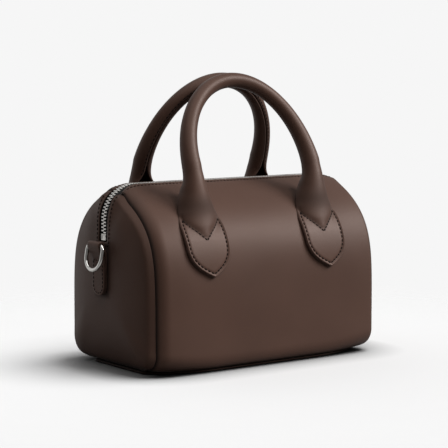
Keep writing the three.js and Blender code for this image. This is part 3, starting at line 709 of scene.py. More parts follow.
def makeEnd(name, node, cut):
    tables = endTables(cut)
    slotHalf, slotBottom = bodyForm["slotHalf"], bodyForm["slotBottom"]
    sections = {half: endSection(cut, half) for half in (-1, 1)}
    lowZ = sections[1][0][1]
    below = cut["rowsBelow"]

    def place(column, row):
        w = column / cut["columns"] * 2 - 1
        section = sections[1 if w > 0 else -1]
        if row <= below:
            z = lerp(lowZ, slotBottom, (row / below) ** cut["rowGrowth"])
        else:
            z = lerp(slotBottom, section[-1][1], (row - below) / (cut["rows"] - below))
        half = np.interp(z, section[:, 1], section[:, 0])
        past = (abs(w) - cut["slotShare"]) / (1 - cut["slotShare"])
        if past <= 0:
            beside = abs(w) / cut["slotShare"] * slotHalf
        else:
            beside = lerp(slotHalf, half, math.sin(past * math.pi / 2))
        plain = math.sin(abs(w) * math.pi / 2) * half
        away = lerp(plain, beside, smoothstep(slotBottom - cut["slotBlend"], slotBottom, z))
        y = math.copysign(away, w)
        upTab = max(0.0, tabCut["bottomZ"] - z, z - tabCut["loopZ"])
        fromTab = math.hypot(max(0.0, away - tabCut["half"]), upTab)
        # painted shade: darker at the foot, in a band along the seam rim and round the ring tab
        dark = cut["footShade"] * bell(z - lowZ, cut["shadeWide"])
        dark += cut["rimShade"] * bell(half - away, cut["rimShadeWide"])
        dark += cut["tabShade"] * bell(fromTab, cut["shadeWide"])
        return (domeReach(tables, cut, y, z), y, z), min(1.0, dark), (y, z)

    bm = gridMesh(cut["columns"], cut["rows"], place)
    slotLow = (slotBottom + cut["slotSlack"]) * mm
    slotSide = (slotHalf - cut["slotSlack"]) * mm
    edgeWide, edgeUnder = cut["slotEdge"]

    def inSlot(face):
        middle = face.calc_center_median()
        return middle.z > slotLow and abs(middle.y) < slotSide

    bmesh.ops.delete(bm, geom=[face for face in bm.faces if inSlot(face)], context="FACES")
    bmesh.ops.remove_doubles(bm, verts=bm.verts, dist=cut["weld"] * mm)
    inner = [vert for vert in bm.verts if not vert.is_boundary]
    for turn in range(cut["smoothing"]):
        bmesh.ops.smooth_vert(bm, verts=inner, factor=cut["smoothBy"], use_axis_x=True)
    faceAway(bm)
    # the rim turns in under the panels, and the slot's edges turn back towards the tape; every turn gets full
    # painted shade
    shade = bm.verts.layers.float["seamShade"]
    rim = [edge for edge in bm.edges if edge.is_boundary]
    centre = Vector((0, 0, cut["centreZ"] * mm))
    for back, tuck in cut["turns"]:
        made = bmesh.ops.extrude_edge_only(bm, edges=rim)["geom"]
        rim = [item for item in made if isinstance(item, bmesh.types.BMEdge) and item.is_boundary]
        for vert in {vert for edge in rim for vert in edge.verts}:
            towards = centre - vert.co
            towards.x = 0
            towards.normalize()
            if abs(vert.co.y) < (slotHalf + edgeWide) * mm and vert.co.z > slotLow - edgeUnder * mm:
                inward = 0 if abs(vert.co.y) < slotSide else cut["slotTuck"]
                towards = Vector((0, inward * math.copysign(1, vert.co.y), 0))
            vert.co.x -= back * mm
            vert.co += towards * tuck * mm
            vert[shade] = 1.0
    if cut["side"] < 0:
        mirrorLeft(bm)
    finishPiece(name, bm, endLeather, stands=(node,), wall=cut["wall"])


def makeEndStitches(name, cut):
    tables = endTables(cut)
    bend = cut["stitchBend"]
    away = bodyForm["slotHalf"] + cut["stitchIn"]
    low = bodyForm["slotBottom"] - cut["stitchIn"]
    section = endSection(cut, -1)
    topZ = section[np.argmin(np.abs(section[:, 0] - away)), 1] - cut["stitchTop"]
    downSteps, bendSteps, acrossSteps = cut["stitchSteps"]
    line = [(away, z) for z in np.linspace(topZ, low + bend, downSteps)]
    line += arcRun((away - bend, low + bend), bend, np.linspace(*cut["stitchTurn"], bendSteps))
    line += [(y, low) for y in np.linspace(away - bend - cut["stitchGap"], 0, acrossSteps)]
    line += [(-y, z) for y, z in reversed(line[:-1])]

    def reach(y, z):
        return domeReach(tables, cut, y, z)

    bm = bmesh.new()
    step = cut["slopeStep"]
    for spot, direction in walk([(reach(y, z), y, z) for y, z in line], cut["stitchPitch"]):
        y, z = spot[1:]
        falls = (reach(y - step, z) - reach(y + step, z), reach(y, z - step) - reach(y, z + step))
        up = Vector((2 * step, *falls)).normalized()
        place = Vector(spot) + up * cut["stitchLift"]
        addStitch(bm, place, direction, up, cut["stitchLength"], cut["stitchRadius"])
    if cut["side"] < 0:
        mirrorLeft(bm)
    finishPiece(name, bm, threadBrown)


for endName, cutOfEnd in (("left", leftEndCut), ("right", rightEndCut)):
    makeEnd("end_panel_skin_" + endName, "end_panel_" + endName, cutOfEnd)
    makeEndStitches("end_zip_stitches_" + endName, cutOfEnd)
print("end panels")


# Base

baseCut = dict(
    step=0.5, endX=95.6, cornerX=88.0, cornerPull=1.6, pullFrom=70.0, sideSteps=46, endSteps=12,
    cornerTurns=range(80, -1, -10), shade=0.5, shadeFrom=1.5, weld=0.005,
    # rounded edge of the board, as height and distance from its outline
    edge=[(0.0, 2.2), (0.0, 1.1), (0.2, 0.4), (0.6, 0.05), (1.1, 0.0), (1.6, 0.2), (1.9, 0.8), (1.95, 3.0)],
)


def baseHalf(x, cut):
    form = bodyForm
    full = bodyDepth(x) - cut["cornerPull"] * smoothstep(cut["pullFrom"], form["seamX"], abs(x))
    return sectionCurve(min(abs(x), form["seamX"]), form["slotHalf"], full)[0][0] - cut["step"]


def makeBase(cut):
    corner = cut["endX"] - cut["cornerX"]
    quarter = [(x, baseHalf(x, cut)) for x in np.linspace(0, cut["cornerX"], cut["sideSteps"])]
    middle = (cut["cornerX"], baseHalf(cut["endX"], cut) - corner)
    quarter += arcRun(middle, corner, np.radians(cut["cornerTurns"]))
    quarter += [(cut["endX"], y) for y in np.linspace(quarter[-1][1], 0, cut["endSteps"])[1:]]
    half = quarter + [(x, -y) for x, y in reversed(quarter[:-1])]
    ring = np.array(half + [(-x, y) for x, y in reversed(half[1:-1])])
    along = unitRows(np.roll(ring, -1, axis=0) - np.roll(ring, 1, axis=0))
    inward = np.stack([along[:, 1], -along[:, 0]], 1)
    inward *= -np.sign(np.sum(inward * ring))

    def place(column, row):
        z, inset = cut["edge"][row]
        x, y = ring[column % len(ring)] + inward[column % len(ring)] * inset
        # painted shade on the board's upper edge and top, under the panels
        return (x, y, z), cut["shade"] if z > cut["shadeFrom"] else 0.0, (x, y)

    bm = gridMesh(len(ring), len(cut["edge"]) - 1, place)
    closeSkin(bm, cut["weld"])
    finishPiece("base_board", bm, baseLeather, stands=("base_panel",))


makeBase(baseCut)
print("base")


# Zip: tapes, teeth, stop and slider

zipParts = dict(
    leftZ=97.3, rightZ=103.0, pitch=2.4, toothBevel=0.22,
    toothAlong=1.18, toothFrom=-0.3, toothTo=2.95, toothDeep=2.3,
    # half width of the tape's lines, how far under the teeth where the zip stands and where it lies
    tape=[(2.7, 1.2, 1.2), (5.8, 2.3, 3.2), (9.0, 2.7, 4.9)],
    tapeEndZ=92.0, tapeThick=0.55, tapeColumns=170, tapeRows=8, tapeLies=55.0,
)
stopCut = dict(low=(-107.8, -2.95, 92.3), high=(-105.0, 2.95, 96.9), slotIn=1.5, slotDeep=0.7, edge=0.35)
sliderCut = dict(
    faceX=107.5, narrowFrom=100.0, narrow=0.8, edge=0.25,
    # boxes from the teeth's outer face: start and end, half width, low and high
    plates=[(0.45, 1.6, 4.3, 92.3, 102.6), (-4.2, -3.2, 4.3, 92.3, 102.6)],
    bridge=[(-4.0, 1.4, 1.4, 92.7, 96.3), (1.5, 2.9, 0.9, 94.2, 95.6), (1.5, 2.9, 0.9, 99.6, 101.0),
            (2.5, 3.2, 0.9, 94.2, 101.0)],
)
pullCut = dict(
    start=(108.9, 0, 100.2), end=(117.0, 0, 91.7), half=2.5, neck=1.6, rim=1.0, thick=1.3, edge=0.22,
    tipSteps=12,
)


def zipSpot(distance, leftZ):
    # a point of the teeth's outer face along the zip, the way along it and the way out of the bag
    bend, radius = zipBend, zipBend["radius"]
    drop = bend["z"] - leftZ
    arc = radius * math.pi / 2
    total = 2 * (drop + arc + bend["x"])
    if distance > total / 2:
        point, along, out = zipSpot(total - distance, leftZ)
        return Vector((-point.x, 0, point.z)), Vector((along.x, 0, -along.z)), Vector((-out.x, 0, out.z))
    if distance < drop:
        return Vector((-bend["x"] - radius, 0, leftZ + distance)), Vector((0, 0, 1)), Vector((-1, 0, 0))
    if distance < drop + arc:
        angle = (distance - drop) / radius
        out = Vector((-math.cos(angle), 0, math.sin(angle)))
        point = Vector((-bend["x"], 0, bend["z"])) + out * radius
        return point, Vector((math.sin(angle), 0, math.cos(angle))), out
    point = Vector((distance - drop - arc - bend["x"], 0, bend["z"] + radius))
    return point, Vector((1, 0, 0)), Vector((0, 0, 1))


def zipLength(leftZ, rightZ):
    return 2 * zipBend["z"] - leftZ - rightZ + zipBend["radius"] * math.pi + 2 * zipBend["x"]


def bevelEdges(bm, edges, width, segments):
    bmesh.ops.bevel(bm, geom=edges, offset=width * mm, offset_type="OFFSET", segments=segments,
                    profile=0.5, affect="EDGES", clamp_overlap=True, material=-1)


def softEdges(bm, width, sharpFrom=0.6):
    sharp = [edge for edge in bm.edges if edge.is_manifold and edge.calc_face_angle() > sharpFrom]
    bevelEdges(bm, sharp, width, 2)


def boxBetween(bm, low, high):
    low, high = Vector(low) * mm, Vector(high) * mm
    matrix = Matrix.Translation((low + high) / 2) @ Matrix.Diagonal((*(high - low), 1))
    return bmesh.ops.create_cube(bm, size=1, matrix=matrix)["verts"]


def makeTeeth(cut):
    bm = bmesh.new()
    across = Vector((0, 1, 0))
    size = Vector((cut["toothAlong"], cut["toothTo"] - cut["toothFrom"], cut["toothDeep"])) * mm
    for i in range(int(zipLength(cut["leftZ"], cut["rightZ"]) / cut["pitch"] * 2)):
        point, along, out = zipSpot((i + 0.5) * cut["pitch"] / 2, cut["leftZ"])
        side = 1 if i % 2 else -1  # the teeth of the two tapes take turns
        spot = point + across * side * (cut["toothFrom"] + cut["toothTo"]) / 2 - out * cut["toothDeep"] / 2
        turn = Matrix((along, across, out)).transposed().to_4x4()
        matrix = Matrix.Translation(spot * mm) @ turn @ Matrix.Diagonal((*size, 1))
        bmesh.ops.create_cube(bm, size=1, matrix=matrix)
    bevelEdges(bm, bm.edges[:], cut["toothBevel"], 1)
    finishPiece("zip_teeth", bm, toothNickel, stands=("zip_chain",), smooth=False)


def makeTape(name, node, side, cut):
    length = zipLength(cut["tapeEndZ"], cut["tapeEndZ"])
    lines = range(len(cut["tape"]))

    def place(column, row):
        distance = column / cut["tapeColumns"] * length
        point, along, out = zipSpot(distance, cut["tapeEndZ"])
        degrees = math.degrees(math.asin(max(-1, min(1, out.z))))
        flatness = max(0.0, (degrees - cut["tapeLies"]) / (90 - cut["tapeLies"]))
        line = row / cut["tapeRows"] * lines[-1]
        y, standing, lying = (np.interp(line, lines, values) for values in zip(*cut["tape"]))
        spot = point - out * (lerp(standing, lying, flatness) - cut["tapeThick"] / 2)
        return (spot.x, side * y, spot.z), 0.0, (distance, y)

    bm = gridMesh(cut["tapeColumns"], cut["tapeRows"], place, uvName="weave")
    faceAway(bm)
    finishPiece(name, bm, tapeBlack, stands=(node,), wall=cut["tapeThick"])


def makeStop(cut):
    bm = bmesh.new()
    boxBetween(bm, cut["low"], cut["high"])
    bm.normal_update()
    front = [face for face in bm.faces if face.normal.x < -0.9]
    bmesh.ops.inset_individual(bm, faces=front, thickness=cut["slotIn"] * mm)
    # the slot the pin sits in
    bmesh.ops.translate(bm, verts=front[0].verts, vec=(cut["slotDeep"] * mm, 0, 0))
    softEdges(bm, cut["edge"])
    finishPiece("zip_end_stop", bm, toothNickel, stands=("zip_stop",))


def makeSlider(cut):
    bm = bmesh.new()
    for boxes, narrow in ((cut["plates"], cut["narrow"]), (cut["bridge"], 1)):
        for start, end, half, low, high in boxes:
            verts = boxBetween(bm, (cut["faceX"] + start, -half, low), (cut["faceX"] + end, half, high))
            for vert in verts:
                if vert.co.z > cut["narrowFrom"] * mm:
                    vert.co.y *= narrow  # the plates narrow towards the joined teeth
    softEdges(bm, cut["edge"])
    finishPiece("zip_slider_body", bm, toothNickel, stands=("zip_slider",))


def makePull(cut):
    start = Vector(cut["start"])
    along = Vector(cut["end"]) - start
    tip = (along.length - cut["half"], 0.0)
    outline = arcRun(tip, cut["half"], np.linspace(-math.pi / 2, math.pi / 2, cut["tipSteps"]))
    outline += [(0.0, cut["neck"]), (0.0, -cut["neck"])]
    spots = [start + along.normalized() * ahead + Vector((0, beside, 0)) for ahead, beside in outline]
    bm = bmesh.new()
    plate = bm.faces.new([bm.verts.new(spot * mm) for spot in spots])
    bmesh.ops.inset_individual(bm, faces=[plate], thickness=cut["rim"] * mm)
    bmesh.ops.solidify(bm, geom=bm.faces[:], thickness=cut["thick"] * mm)
    bmesh.ops.recalc_face_normals(bm, faces=bm.faces)
    softEdges(bm, cut["edge"])
    finishPiece("zip_slider_pull", bm, toothNickel)


makeTeeth(zipParts)
makeTape("zip_tape_weave_front", "zip_tape_front", -1, zipParts)
makeTape("zip_tape_weave_back", "zip_tape_back", 1, zipParts)
makeStop(stopCut)
makeSlider(sliderCut)
makePull(pullCut)
print("zip")


# Ring tabs and rings

ringCut = dict(
    half=10.1, wire=1.4, corner=3.9, arm=-7.7, armStart=0.6, cornerTurn=(0.2, 1.57), bowStart=0.06, tilt=10.0,
    sides=18, barSteps=9, cornerSteps=8, armSteps=6, bowSteps=48, weld=0.005,
)


def tabPath(cut):
    # middle line of the strap: up the back, round the ring's bar and down the front
    back = cut["backX"] + cut["layer"] / 2
    front = cut["backX"] + 1.5 * cut["layer"] + cut["frontGap"]
    radius = cut["loopR"] - cut["layer"] / 2
    path = [(back, z) for z in np.linspace(cut["bottomZ"], cut["backTop"], cut["runSteps"])]
    path += [(back + x, z) for x, z in cut["backRise"]]
    path += [(cut["loopX"] - radius * cut["bendShare"], cut["bendZ"])]
    turns = np.radians(np.linspace(*cut["loopTurn"], cut["runSteps"]))
    path += arcRun((cut["loopX"], cut["loopZ"]), radius, turns)
    path += [(cut["loopX"] + cut["noseIn"], cut["noseZ"])]
    path += [(front + x, z) for x, z in cut["frontFall"]]
    path += [(front, z) for z in np.linspace(cut["frontTop"], cut["bottomZ"], cut["runSteps"])]
    points = evenly(np.array(path), np.linspace(0, 1, cut["count"]))[0]
    for turn in range(cut["smoothing"]):
        points[1:-1] = 0.25 * points[:-2] + 0.5 * points[1:-1] + 0.25 * points[2:]
    return points


def tabHalf(cut, z):
    short = max(0.0, cut["cornerR"] - (z - cut["bottomZ"]))
    return cut["half"] - cut["cornerR"] + math.sqrt(max(0.0, cut["cornerR"] ** 2 - short ** 2))


def makeTab(side, name, node, cut):
    points = tabPath(cut)
    along = unitRows(np.gradient(points, axis=0))
    thick = cut["layer"] / 2
    turns = np.linspace(-math.pi / 2, math.pi / 2, cut["lipSteps"])[1:-1]
    lip = [(math.cos(a) * cut["lip"], math.sin(a) * (thick - cut["lipIn"])) for a in turns]
    shares = np.linspace(-1, 1, cut["across"])
    # round the strap: share of its width, past its edge, height over its middle line, shade; the back, pressed on
    # the end panel, gets painted shade and the lips are darker
    profile = [(share, 0.0, thick, 0.0) for share in shares]
    profile += [(1.0, past, lift, cut["lipShade"]) for past, lift in reversed(lip)]
    profile += [(share, 0.0, -thick, cut["backShade"]) for share in reversed(shares)]
    profile += [(-1.0, -past, lift, cut["lipShade"]) for past, lift in lip]

    def place(column, row):
        share, past, lift, dark = profile[column % len(profile)]
        x, z = points[row]
        runX, runZ = along[row]
        half = max(cut["leastHalf"], tabHalf(cut, z) - cut["lip"])
        if lift > 0:
            lift += cut["pad"] * (1 - share ** 4)
        return (x - runZ * lift, share * half + past, z + runX * lift), dark, (share * half, row)

    bm = gridMesh(len(profile), len(points) - 1, place)
    closeSkin(bm, cut["weld"])
    if side < 0:
        mirrorLeft(bm)
    finishPiece(name, bm, tabLeather, stands=(node,))


def makeTabStitches(side, name, cut):
    inner = cut["half"] - cut["stitchIn"]
    low = cut["bottomZ"] + cut["stitchIn"]
    radius = cut["cornerR"] - cut["stitchIn"]
    downSteps, bendSteps, acrossSteps = cut["stitchSteps"]
    line = [(inner, z) for z in np.linspace(cut["stitchTop"], low + radius, downSteps)]
    line += arcRun((inner - radius, low + radius), radius, np.linspace(*cut["stitchTurn"], bendSteps))
    line += [(-y, z) for y, z in reversed(line)]
    line += [(y, cut["stitchTop"]) for y in np.linspace(-inner, inner, acrossSteps)[1:]]
    bm = bmesh.new()
    sewRun(bm, [(cut["backX"] + 2 * cut["layer"], y, z, 1, 0, 0) for y, z in line], cut)
    if side < 0:
        mirrorLeft(bm)
    finishPiece(name, bm, threadBrown)


def ringLine(cut):
    # middle line of the wire: bar, corner and arm, bow, and the other arm and corner
    half, corner, arm = cut["half"], cut["corner"], cut["arm"]
    bar = [(y, 0.0) for y in np.linspace(corner - half, half - corner, cut["barSteps"])]
    turns = math.pi / 2 - np.linspace(*cut["cornerTurn"], cut["cornerSteps"])
    side = arcRun((half - corner, -corner), corner, turns)
    side += [(half, z) for z in np.linspace(-corner - cut["armStart"], arm, cut["armSteps"])]
    bow = arcRun((0.0, arm), half, -np.linspace(cut["bowStart"], math.pi - cut["bowStart"], cut["bowSteps"]))
    return np.array(bar + side + bow + [(-y, z) for y, z in reversed(side)])


def makeRing(side, name, node, body, cut, tab):
    line = ringLine(cut)
    along = unitRows(np.roll(line, -1, axis=0) - np.roll(line, 1, axis=0))
    tilt = Matrix.Rotation(-math.radians(cut["tilt"]), 3, "Y")
    bar = Vector((tab["loopX"], 0, tab["loopZ"]))

    def place(column, row):
        angle = 2 * math.pi * column / cut["sides"]
        y, z = line[row % len(line)]
        runY, runZ = along[row % len(line)]
        inPlane = cut["wire"] * math.cos(angle)
        spot = Vector((cut["wire"] * math.sin(angle), y + runZ * inPlane, z - runY * inPlane))
        return bar + tilt @ spot, 0.0, (column, row)

    bm = gridMesh(cut["sides"], len(line), place)
    closeSkin(bm, cut["weld"])
    if side < 0:
        mirrorLeft(bm)
    finishPiece(name, bm, ringNickel, body=body, stands=(node,))


for endName, endSide in (("left", -1), ("right", 1)):
    makeTab(endSide, "ring_tab_strap_" + endName, "ring_tab_" + endName, tabCut)
    makeTabStitches(endSide, "ring_tab_stitches_" + endName, tabCut)
    makeRing(endSide, "d_ring_wire_" + endName, "d_ring_" + endName, "ring_" + endName, ringCut, tabCut)
print("ring tabs and rings")


# Handles: a strip of leather that lies flat as a shield, curls up and closes into a tube

handleCut = dict(
    legX=52.6, archX=53.7, archBaseZ=143.0, archTopZ=204.0, archBaseDepth=31.8, archTopDepth=5.95,
    archSteps=59, legR=7.05, topR=5.5, taper=1.9, thick=2.0, plateThick=2.0, clear=0.2, seamGap=0.35,
    footZ=68.0, footRows=[68.0, 68.15, 68.35, 68.7, 69.2, 69.8], legFromZ=70.4, legRows=84,
    vTipZ=94.4, vTopZ=110.5, vHalf=16.6, wingEndZ=114.0, puffPower=2.5, puffShare=0.5,
    footLift=0.5, footLiftTo=98.0, riseRun=2.0, slopeStep=0.7, archTurnZ=110.0, thickBlend=(100.0, 118.0),
    settleTurn=0.35, edgeShare=0.6, closedCurl=5.5, flareFade=(-2.0, 3.0), wingBlend=1.0, puffNear=0.995,
    puffTilt=1.1, leastReach=0.3, leastCurl=1e-3, weld=0.002,
    # how far from the top of the V each of these starts or ends
    standBelow=6.0, roundBelow=7.0, roundAbove=3.0, wingBelow=1.0, reliefBelow=3.0,
    stitchIn=2.8, stitchPitch=3.1, stitchLength=2.4, stitchRadius=0.62, stitchSink=0.28,
    stitchTop=0.3, stitchFoot=0.2, stitchSteps=90, leastStitch=0.05, veeOut=0.9, veeSteps=20,
    reliefStep=0.5, outlineStep=0.4,
    grooveDeep=0.42, grooveWide=0.75, lipHigh=0.35, lipIn=1.1, lipWide=0.6,
    veeShade=0.5, veeShadeWide=0.9, flareShade=0.42, flareShadeZ=117.0, flareShadeWide=8.0,
    backShade=0.8, edgeShade=0.25, seamShade=0.55, seamShadeWide=1.2,
    closingIn=1.7, closingFromZ=138.0, closingLength=2.2, closingRadius=0.5, closingSink=0.15,
    # lines across half of the strip, from its edge to its middle, and round its cut edges
    across=[0, 0.35, 0.8, 1.3, 1.7, 2.1, 2.5, 2.9, 3.5, 4.4, 5.6, 7.0, 8.6, 10.3, 12.1, 13.9, 15.7],
    edgeTurns=(20, 45, 70, 90, 110, 135, 160),
)
# outline of the strip up the leg: height, half width of the strip, how far it is curled (radians)
legOutline = [
    (68.0, 0.3, 0.0), (68.35, 1.7, 0.0), (69.2, 3.6, 0.0), (70.4, 5.7, 0.0), (74.0, 10.9, 0.0),
    (79.5, 15.7, 0.0), (85.5, 18.1, 0.0), (91.5, 18.6, 0.0), (95.0, 18.8, 1.30), (100.0, 19.0, 1.42),
    (103.5, 19.1, 1.45), (106.5, 19.2, 1.50), (109.5, 19.3, 1.58), (112.5, 19.5, 1.83), (115.5, 19.6, 2.15),
    (118.5, 19.7, 2.50), (121.5, 19.8, 2.82), (125.0, 19.9, 3.25), (128.0, 19.9, 3.70), (132.0, 20.0, 4.30),
    (136.0, 20.2, 5.05), (139.0, 20.5, 5.54), (143.0, 21.4, 6.12),
]
legWidths = [(z, half) for z, half, curl in legOutline]
legCurls = [(z, curl) for z, half, curl in legOutline]
# the shields are sewn on a little to one side: height, how far
legShift = [
    (68.0, 0.6), (70.4, 0.1), (74.0, -0.8), (79.5, -1.7), (85.5, -2.1), (95.0, -2.3), (103.0, -2.2),
    (109.0, -1.5), (118.5, -1.1), (125.0, -0.6), (130.0, -0.4), (138.0, 0.1), (147.0, 0.3), (170.0, 0.0),
]
# the strip's outer face half way across it, above the shield
legFace = [
    (94.4, 52.2), (97.5, 51.6), (100.0, 50.9), (103.5, 50.0), (107.0, 48.9), (110.5, 47.8),
    (115.5, 46.5), (121.5, 45.2), (128.0, 43.7), (135.0, 41.8), (143.0, 38.9),
]


def smoothTable(rows, at):
    # a soft curve through the rows of a table
    x, y = np.array(rows, dtype=float).T
    slope = np.gradient(y, x)
    i = int(np.clip(np.searchsorted(x, at) - 1, 0, len(x) - 2))
    width = x[i + 1] - x[i]
    t = min(1.0, max(0.0, (at - x[i]) / width))
    a = (2 * t ** 3 - 3 * t ** 2 + 1) * y[i] + (t ** 3 - 2 * t ** 2 + t) * width * slope[i]
    return a + (-2 * t ** 3 + 3 * t ** 2) * y[i + 1] + (t ** 3 - t ** 2) * width * slope[i + 1]


def sideStep(z):
    return float(np.interp(z, *zip(*legShift)))


def shieldLift(z, cut):
    # the plate is thicker towards its foot
    return cut["footLift"] * (1 - smoothstep(cut["footZ"], cut["footLiftTo"], z))


def shieldFace(z, cut):
    # outer face of the shield where it lies on the panel
    lower, depth, upper = (wallPoint(cut["legX"], z + step)[0] for step in (-0.5, 0, 0.5))
    over = cut["clear"] + cut["plateThick"] + shieldLift(z, cut)
    return depth + over * math.sqrt(1 + (lower - upper) ** 2)


def faceDepth(z, cut):
    lying = shieldFace(z, cut)
    if z <= cut["vTipZ"]:
        return lying
    return lerp(lying, smoothTable(legFace, z), smoothstep(0, cut["riseRun"], z - cut["vTipZ"]))


def legStation(z, cut):
    # one line across the strip on the leg
    step, top = cut["slopeStep"], cut["vTopZ"]
    faces = (shieldFace, faceDepth)
    lying, standing = ((face(z + step, cut) - face(z - step, cut)) / (2 * step) for face in faces)
    slope = lerp(lying, standing, smoothstep(top - cut["standBelow"], cut["wingEndZ"], z))
    run = Vector((0, slope, 1)).normalized()
    x = lerp(cut["legX"], cut["archX"], smoothstep(cut["archTurnZ"], cut["archBaseZ"], z))
    return dict(
        z=z, face=Vector((x, faceDepth(z, cut), z)), out=Vector((0, run.z, -run.y)), wide=Vector((1, 0, 0)),
        half=smoothTable(legWidths, z), curl=max(0.0, smoothTable(legCurls, z)),
        puff=max(0.0, faceDepth(z, cut) - shieldFace(z, cut)),
        round=lerp(1 - cut["puffShare"], 1, smoothstep(top - cut["roundBelow"], top + cut["roundAbove"], z)),
        thick=lerp(cut["plateThick"], cut["thick"], smoothstep(*cut["thickBlend"], z)) + shieldLift(z, cut),
    )


def archStation(angle, outBefore, cut):
    # one line across the strip on the arch, where it is a closed tube
    up, level = math.sin(angle), math.cos(angle)
    rise = cut["archTopZ"] - cut["archBaseZ"]
    lean = cut["archTopDepth"] - cut["archBaseDepth"]
    middle = Vector((cut["archX"] * level, cut["archBaseDepth"] + lean * up, cut["archBaseZ"] + rise * up))
    along = Vector((-cut["archX"] * up, lean * level, rise * level)).normalized()
    radius = lerp(cut["topR"], cut["legR"], (1 - up) ** cut["taper"])
    out = outBefore.lerp(Vector((0, rise, -lean)).normalized(), smoothstep(0, cut["settleTurn"], angle))
    out = (out - along * out.dot(along)).normalized()
    return dict(
        z=middle.z, face=middle + out * radius, out=out, wide=out.cross(along).normalized(),
        half=math.pi * radius - cut["seamGap"] / 2, curl=2 * math.pi - cut["seamGap"] / radius,
        puff=0.0, round=1.0, thick=cut["thick"],
    )


def mirroredStation(station):
    flipped = {key: station[key] * Vector((-1, 1, 1)) for key in ("face", "out", "wide")}
    return {**station, **flipped}


def handleStations(cut):
    heights = [*cut["footRows"], *np.linspace(cut["legFromZ"], cut["archBaseZ"], cut["legRows"])]
    stations = [legStation(z, cut) for z in heights]
    for i in range(1, cut["archSteps"] + 1):
        stations.append(archStation(math.pi / 2 * i / cut["archSteps"], stations[-1]["out"], cut))
    return stations + [mirroredStation(station) for station in reversed(stations[:-1])]


def arcReach(station, cut):
    # how much of the strip, from its middle, is curled: below the V's corners its wings lie flat
    half, z = station["half"], station["z"]
    if z >= cut["wingEndZ"]:
        return half
    rise = (z - cut["vTipZ"]) / (cut["vTopZ"] - cut["vTipZ"])
    reach = cut["vHalf"] * min(1.0, max(0.0, rise))
    return lerp(reach, half, smoothstep(cut["vTopZ"] - cut["wingBelow"], cut["wingEndZ"], z))


def curledSpot(station, s, reach, cut):
    # across, back and tilt of a point of the strip where it is curled to a round
    turn = station["curl"] / 2
    radius = reach / turn
    tip = max(-turn, min(turn, s / radius))
    wing = s - tip * radius
    tilt = tip * (1 - smoothstep(0, cut["wingBlend"], abs(wing)))
    return radius * math.sin(tip) + wing, radius * (1 - math.cos(tip)), tilt


def puffedSpot(station, s, reach, cut):
    # the same where it stands up over the V with a flat top and round sides
    power = cut["puffPower"]
    share = min(1.0, abs(s) / reach)
    drop = 1 - math.sqrt(max(0.0, 1 - share ** power))
    near = min(cut["puffNear"], share)
    steep = power / 2 * near ** (power - 1) / math.sqrt(1 - near ** power)
    tilt = min(cut["puffTilt"], math.atan(steep * station["puff"] / reach)) if share < 1 else 0.0
    return s, station["puff"] * drop, math.copysign(tilt, s)


def stripSpot(station, s, below, cut):
    # a point of the strip: s across it from its middle, below its outer face
    reach = arcReach(station, cut)
    if reach < cut["leastReach"] or station["curl"] < cut["leastCurl"]:
        across, back, tip = s, station["puff"], 0.0
    else:
        curled = curledSpot(station, s, reach, cut)
        puffed = puffedSpot(station, s, reach, cut)
        across, back, tip = (lerp(a, b, station["round"]) for a, b in zip(puffed, curled))
    normal = station["out"] * math.cos(tip) + station["wide"] * math.sin(tip)
    return station["face"] + station["wide"] * across - station["out"] * back - normal * below, normal


def widthSlope(z, step, cut):
    # how fast the shield's outline widens
    lower = smoothTable(legWidths, max(cut["footZ"], z - step))
    return (smoothTable(legWidths, z + step) - lower) / (2 * step)


def faceRelief(station, s, cut):
    # the sunk stitch line and the raised lip round the flat shield
    z = station["z"]
    if z >= cut["wingEndZ"]:
        return 0.0
    inset = (station["half"] - abs(s)) / math.sqrt(1 + widthSlope(z, cut["reliefStep"], cut) ** 2)
    groove = cut["grooveDeep"] * bell(inset - cut["stitchIn"], cut["grooveWide"])
    lip = cut["lipHigh"] * bell(inset - cut["lipIn"], cut["lipWide"])
    return (groove - lip) * (1 - smoothstep(cut["vTopZ"] - cut["reliefBelow"], cut["wingEndZ"], z))


def faceShade(station, s, share, cut):
    # painted shade along the V, where the strip starts to curl and beside the closed seam
    z, half = station["z"], station["half"]
    dark = cut["flareShade"] * bell(z - cut["flareShadeZ"], cut["flareShadeWide"])
    dark *= smoothstep(*cut["flareFade"], z - cut["vTipZ"])
    if cut["vTipZ"] < z < cut["vTopZ"]:
        dark += cut["veeShade"] * bell(abs(s) - arcReach(station, cut), cut["veeShadeWide"])
    if station["curl"] > cut["closedCurl"]:
        dark = max(dark, cut["seamShade"] * bell(half - abs(share) * half, cut["seamShadeWide"]))
    return min(1.0, dark)


def makeHandle(name, node, side, stations, cut):
    inward = np.array(cut["across"]) / cut["across"][-1]
    spread = [*(inward - 1), *(1 - inward[-2::-1])]
    turns = np.radians(cut["edgeTurns"])
    profile = [(share, "face") for share in spread]
    profile += [(turn, 1) for turn in turns]
    profile += [(share, "back") for share in reversed(spread)]
    profile += [(math.pi - turn, -1) for turn in turns]

    def place(column, row):
        station = stations[row]
        share, part = profile[column % len(profile)]
        half, thick = station["half"], station["thick"]
        soft = min(thick / 2, half * cut["edgeShare"])  # the cut edges are rounded
        s = share * (half - soft)
        # the face gets painted shade from faceShade; the back, against the panel and inside the tube, gets
        # painted shade; the cut edges are darker
        if part == "face":
            below = faceRelief(station, s, cut)
            dark = faceShade(station, s, share, cut)
        elif part == "back":
            below = thick
            dark = cut["backShade"]
        else:
            s = part * (half - soft + soft * math.sin(share))
            below = thick / 2 * (1 - math.cos(share))
            dark = cut["edgeShade"]
        spot, normal = stripSpot(station, s, below, cut)
        return (spot.x - side * sideStep(spot.z), side * spot.y, spot.z), dark, (column, row)

    bm = gridMesh(len(profile), len(stations) - 1, place)
    closeSkin(bm, cut["weld"])
    piece = finishPiece(name, bm, handleLeather, stands=(node,))


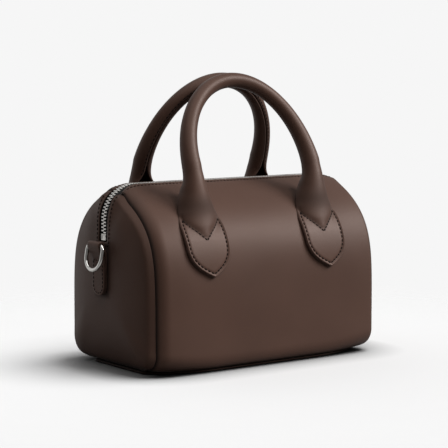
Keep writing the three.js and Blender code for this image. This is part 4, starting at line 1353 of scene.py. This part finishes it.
def stationAt(stations, z, cut):
    # the right leg's station at a height, between its neighbours
    leg = stations[:len(cut["footRows"]) + cut["legRows"]]
    heights = [station["z"] for station in leg]
    i = int(np.clip(np.searchsorted(heights, z) - 1, 0, len(leg) - 2))
    t = (z - heights[i]) / (heights[i + 1] - heights[i])
    return {key: lerp(value, leg[i + 1][key], t) for key, value in leg[i].items()}


def sewHandle(bm, path, side, legs, pitch, length, radius):
    # stitches on one leg or both of a handle, stepped to the side as the strip is
    for spot, direction in walk(path, pitch):
        for leg in legs:
            place = Vector((spot[0] * leg - side * sideStep(spot[2]), side * spot[1], spot[2]))
            along = (direction[0] * leg, side * direction[1], direction[2])
            addStitch(bm, place, along, (spot[3] * leg, side * spot[4], spot[5]), length, radius)


def makeHandleStitches(name, side, stations, cut):
    outline = []
    low, high = cut["footZ"] + cut["stitchFoot"], cut["vTopZ"] - cut["stitchTop"]
    for z in np.linspace(high, low, cut["stitchSteps"]):
        slope = widthSlope(z, cut["outlineStep"], cut)
        inset = cut["stitchIn"] / math.sqrt(1 + slope ** 2)
        outline.append((smoothTable(legWidths, z) - inset, z + inset * slope))
    outline = [(s, z) for s, z in outline if s > cut["leastStitch"]]
    cornerS, cornerZ = outline[0]
    shield = outline + [(0.0, outline[-1][1] - cut["stitchFoot"])]
    steps = np.linspace(0, 1, cut["veeSteps"])
    vee = [(cornerS * (1 - t), lerp(cornerZ, cut["vTipZ"], t) - cut["veeOut"] * t) for t in steps]
    bm = bmesh.new()
    for run, sink in ((shield, cut["stitchSink"]), (vee, 0.0)):
        for half in (1, -1):
            spots = [stripSpot(stationAt(stations, z, cut), half * s, sink, cut) for s, z in run]
            path = [(*spot, *normal) for spot, normal in spots]
            sewHandle(bm, path, side, (1, -1), cut["stitchPitch"], cut["stitchLength"], cut["stitchRadius"])
    path = []
    for station in stations:
        if station["z"] > cut["closingFromZ"]:
            spot, normal = stripSpot(station, station["half"] - cut["closingIn"], cut["closingSink"], cut)
            path.append((*spot, *normal))
    sewHandle(bm, path, side, (1,), cut["stitchPitch"], cut["closingLength"], cut["closingRadius"])
    finishPiece(name, bm, threadBrown)


handleLines = handleStations(handleCut)
for handleName, handleSide in (("front", -1), ("back", 1)):
    makeHandle("handle_roll_" + handleName, "handle_" + handleName, handleSide, handleLines, handleCut)
    makeHandleStitches("handle_stitches_" + handleName, handleSide, handleLines, handleCut)
print("handles")
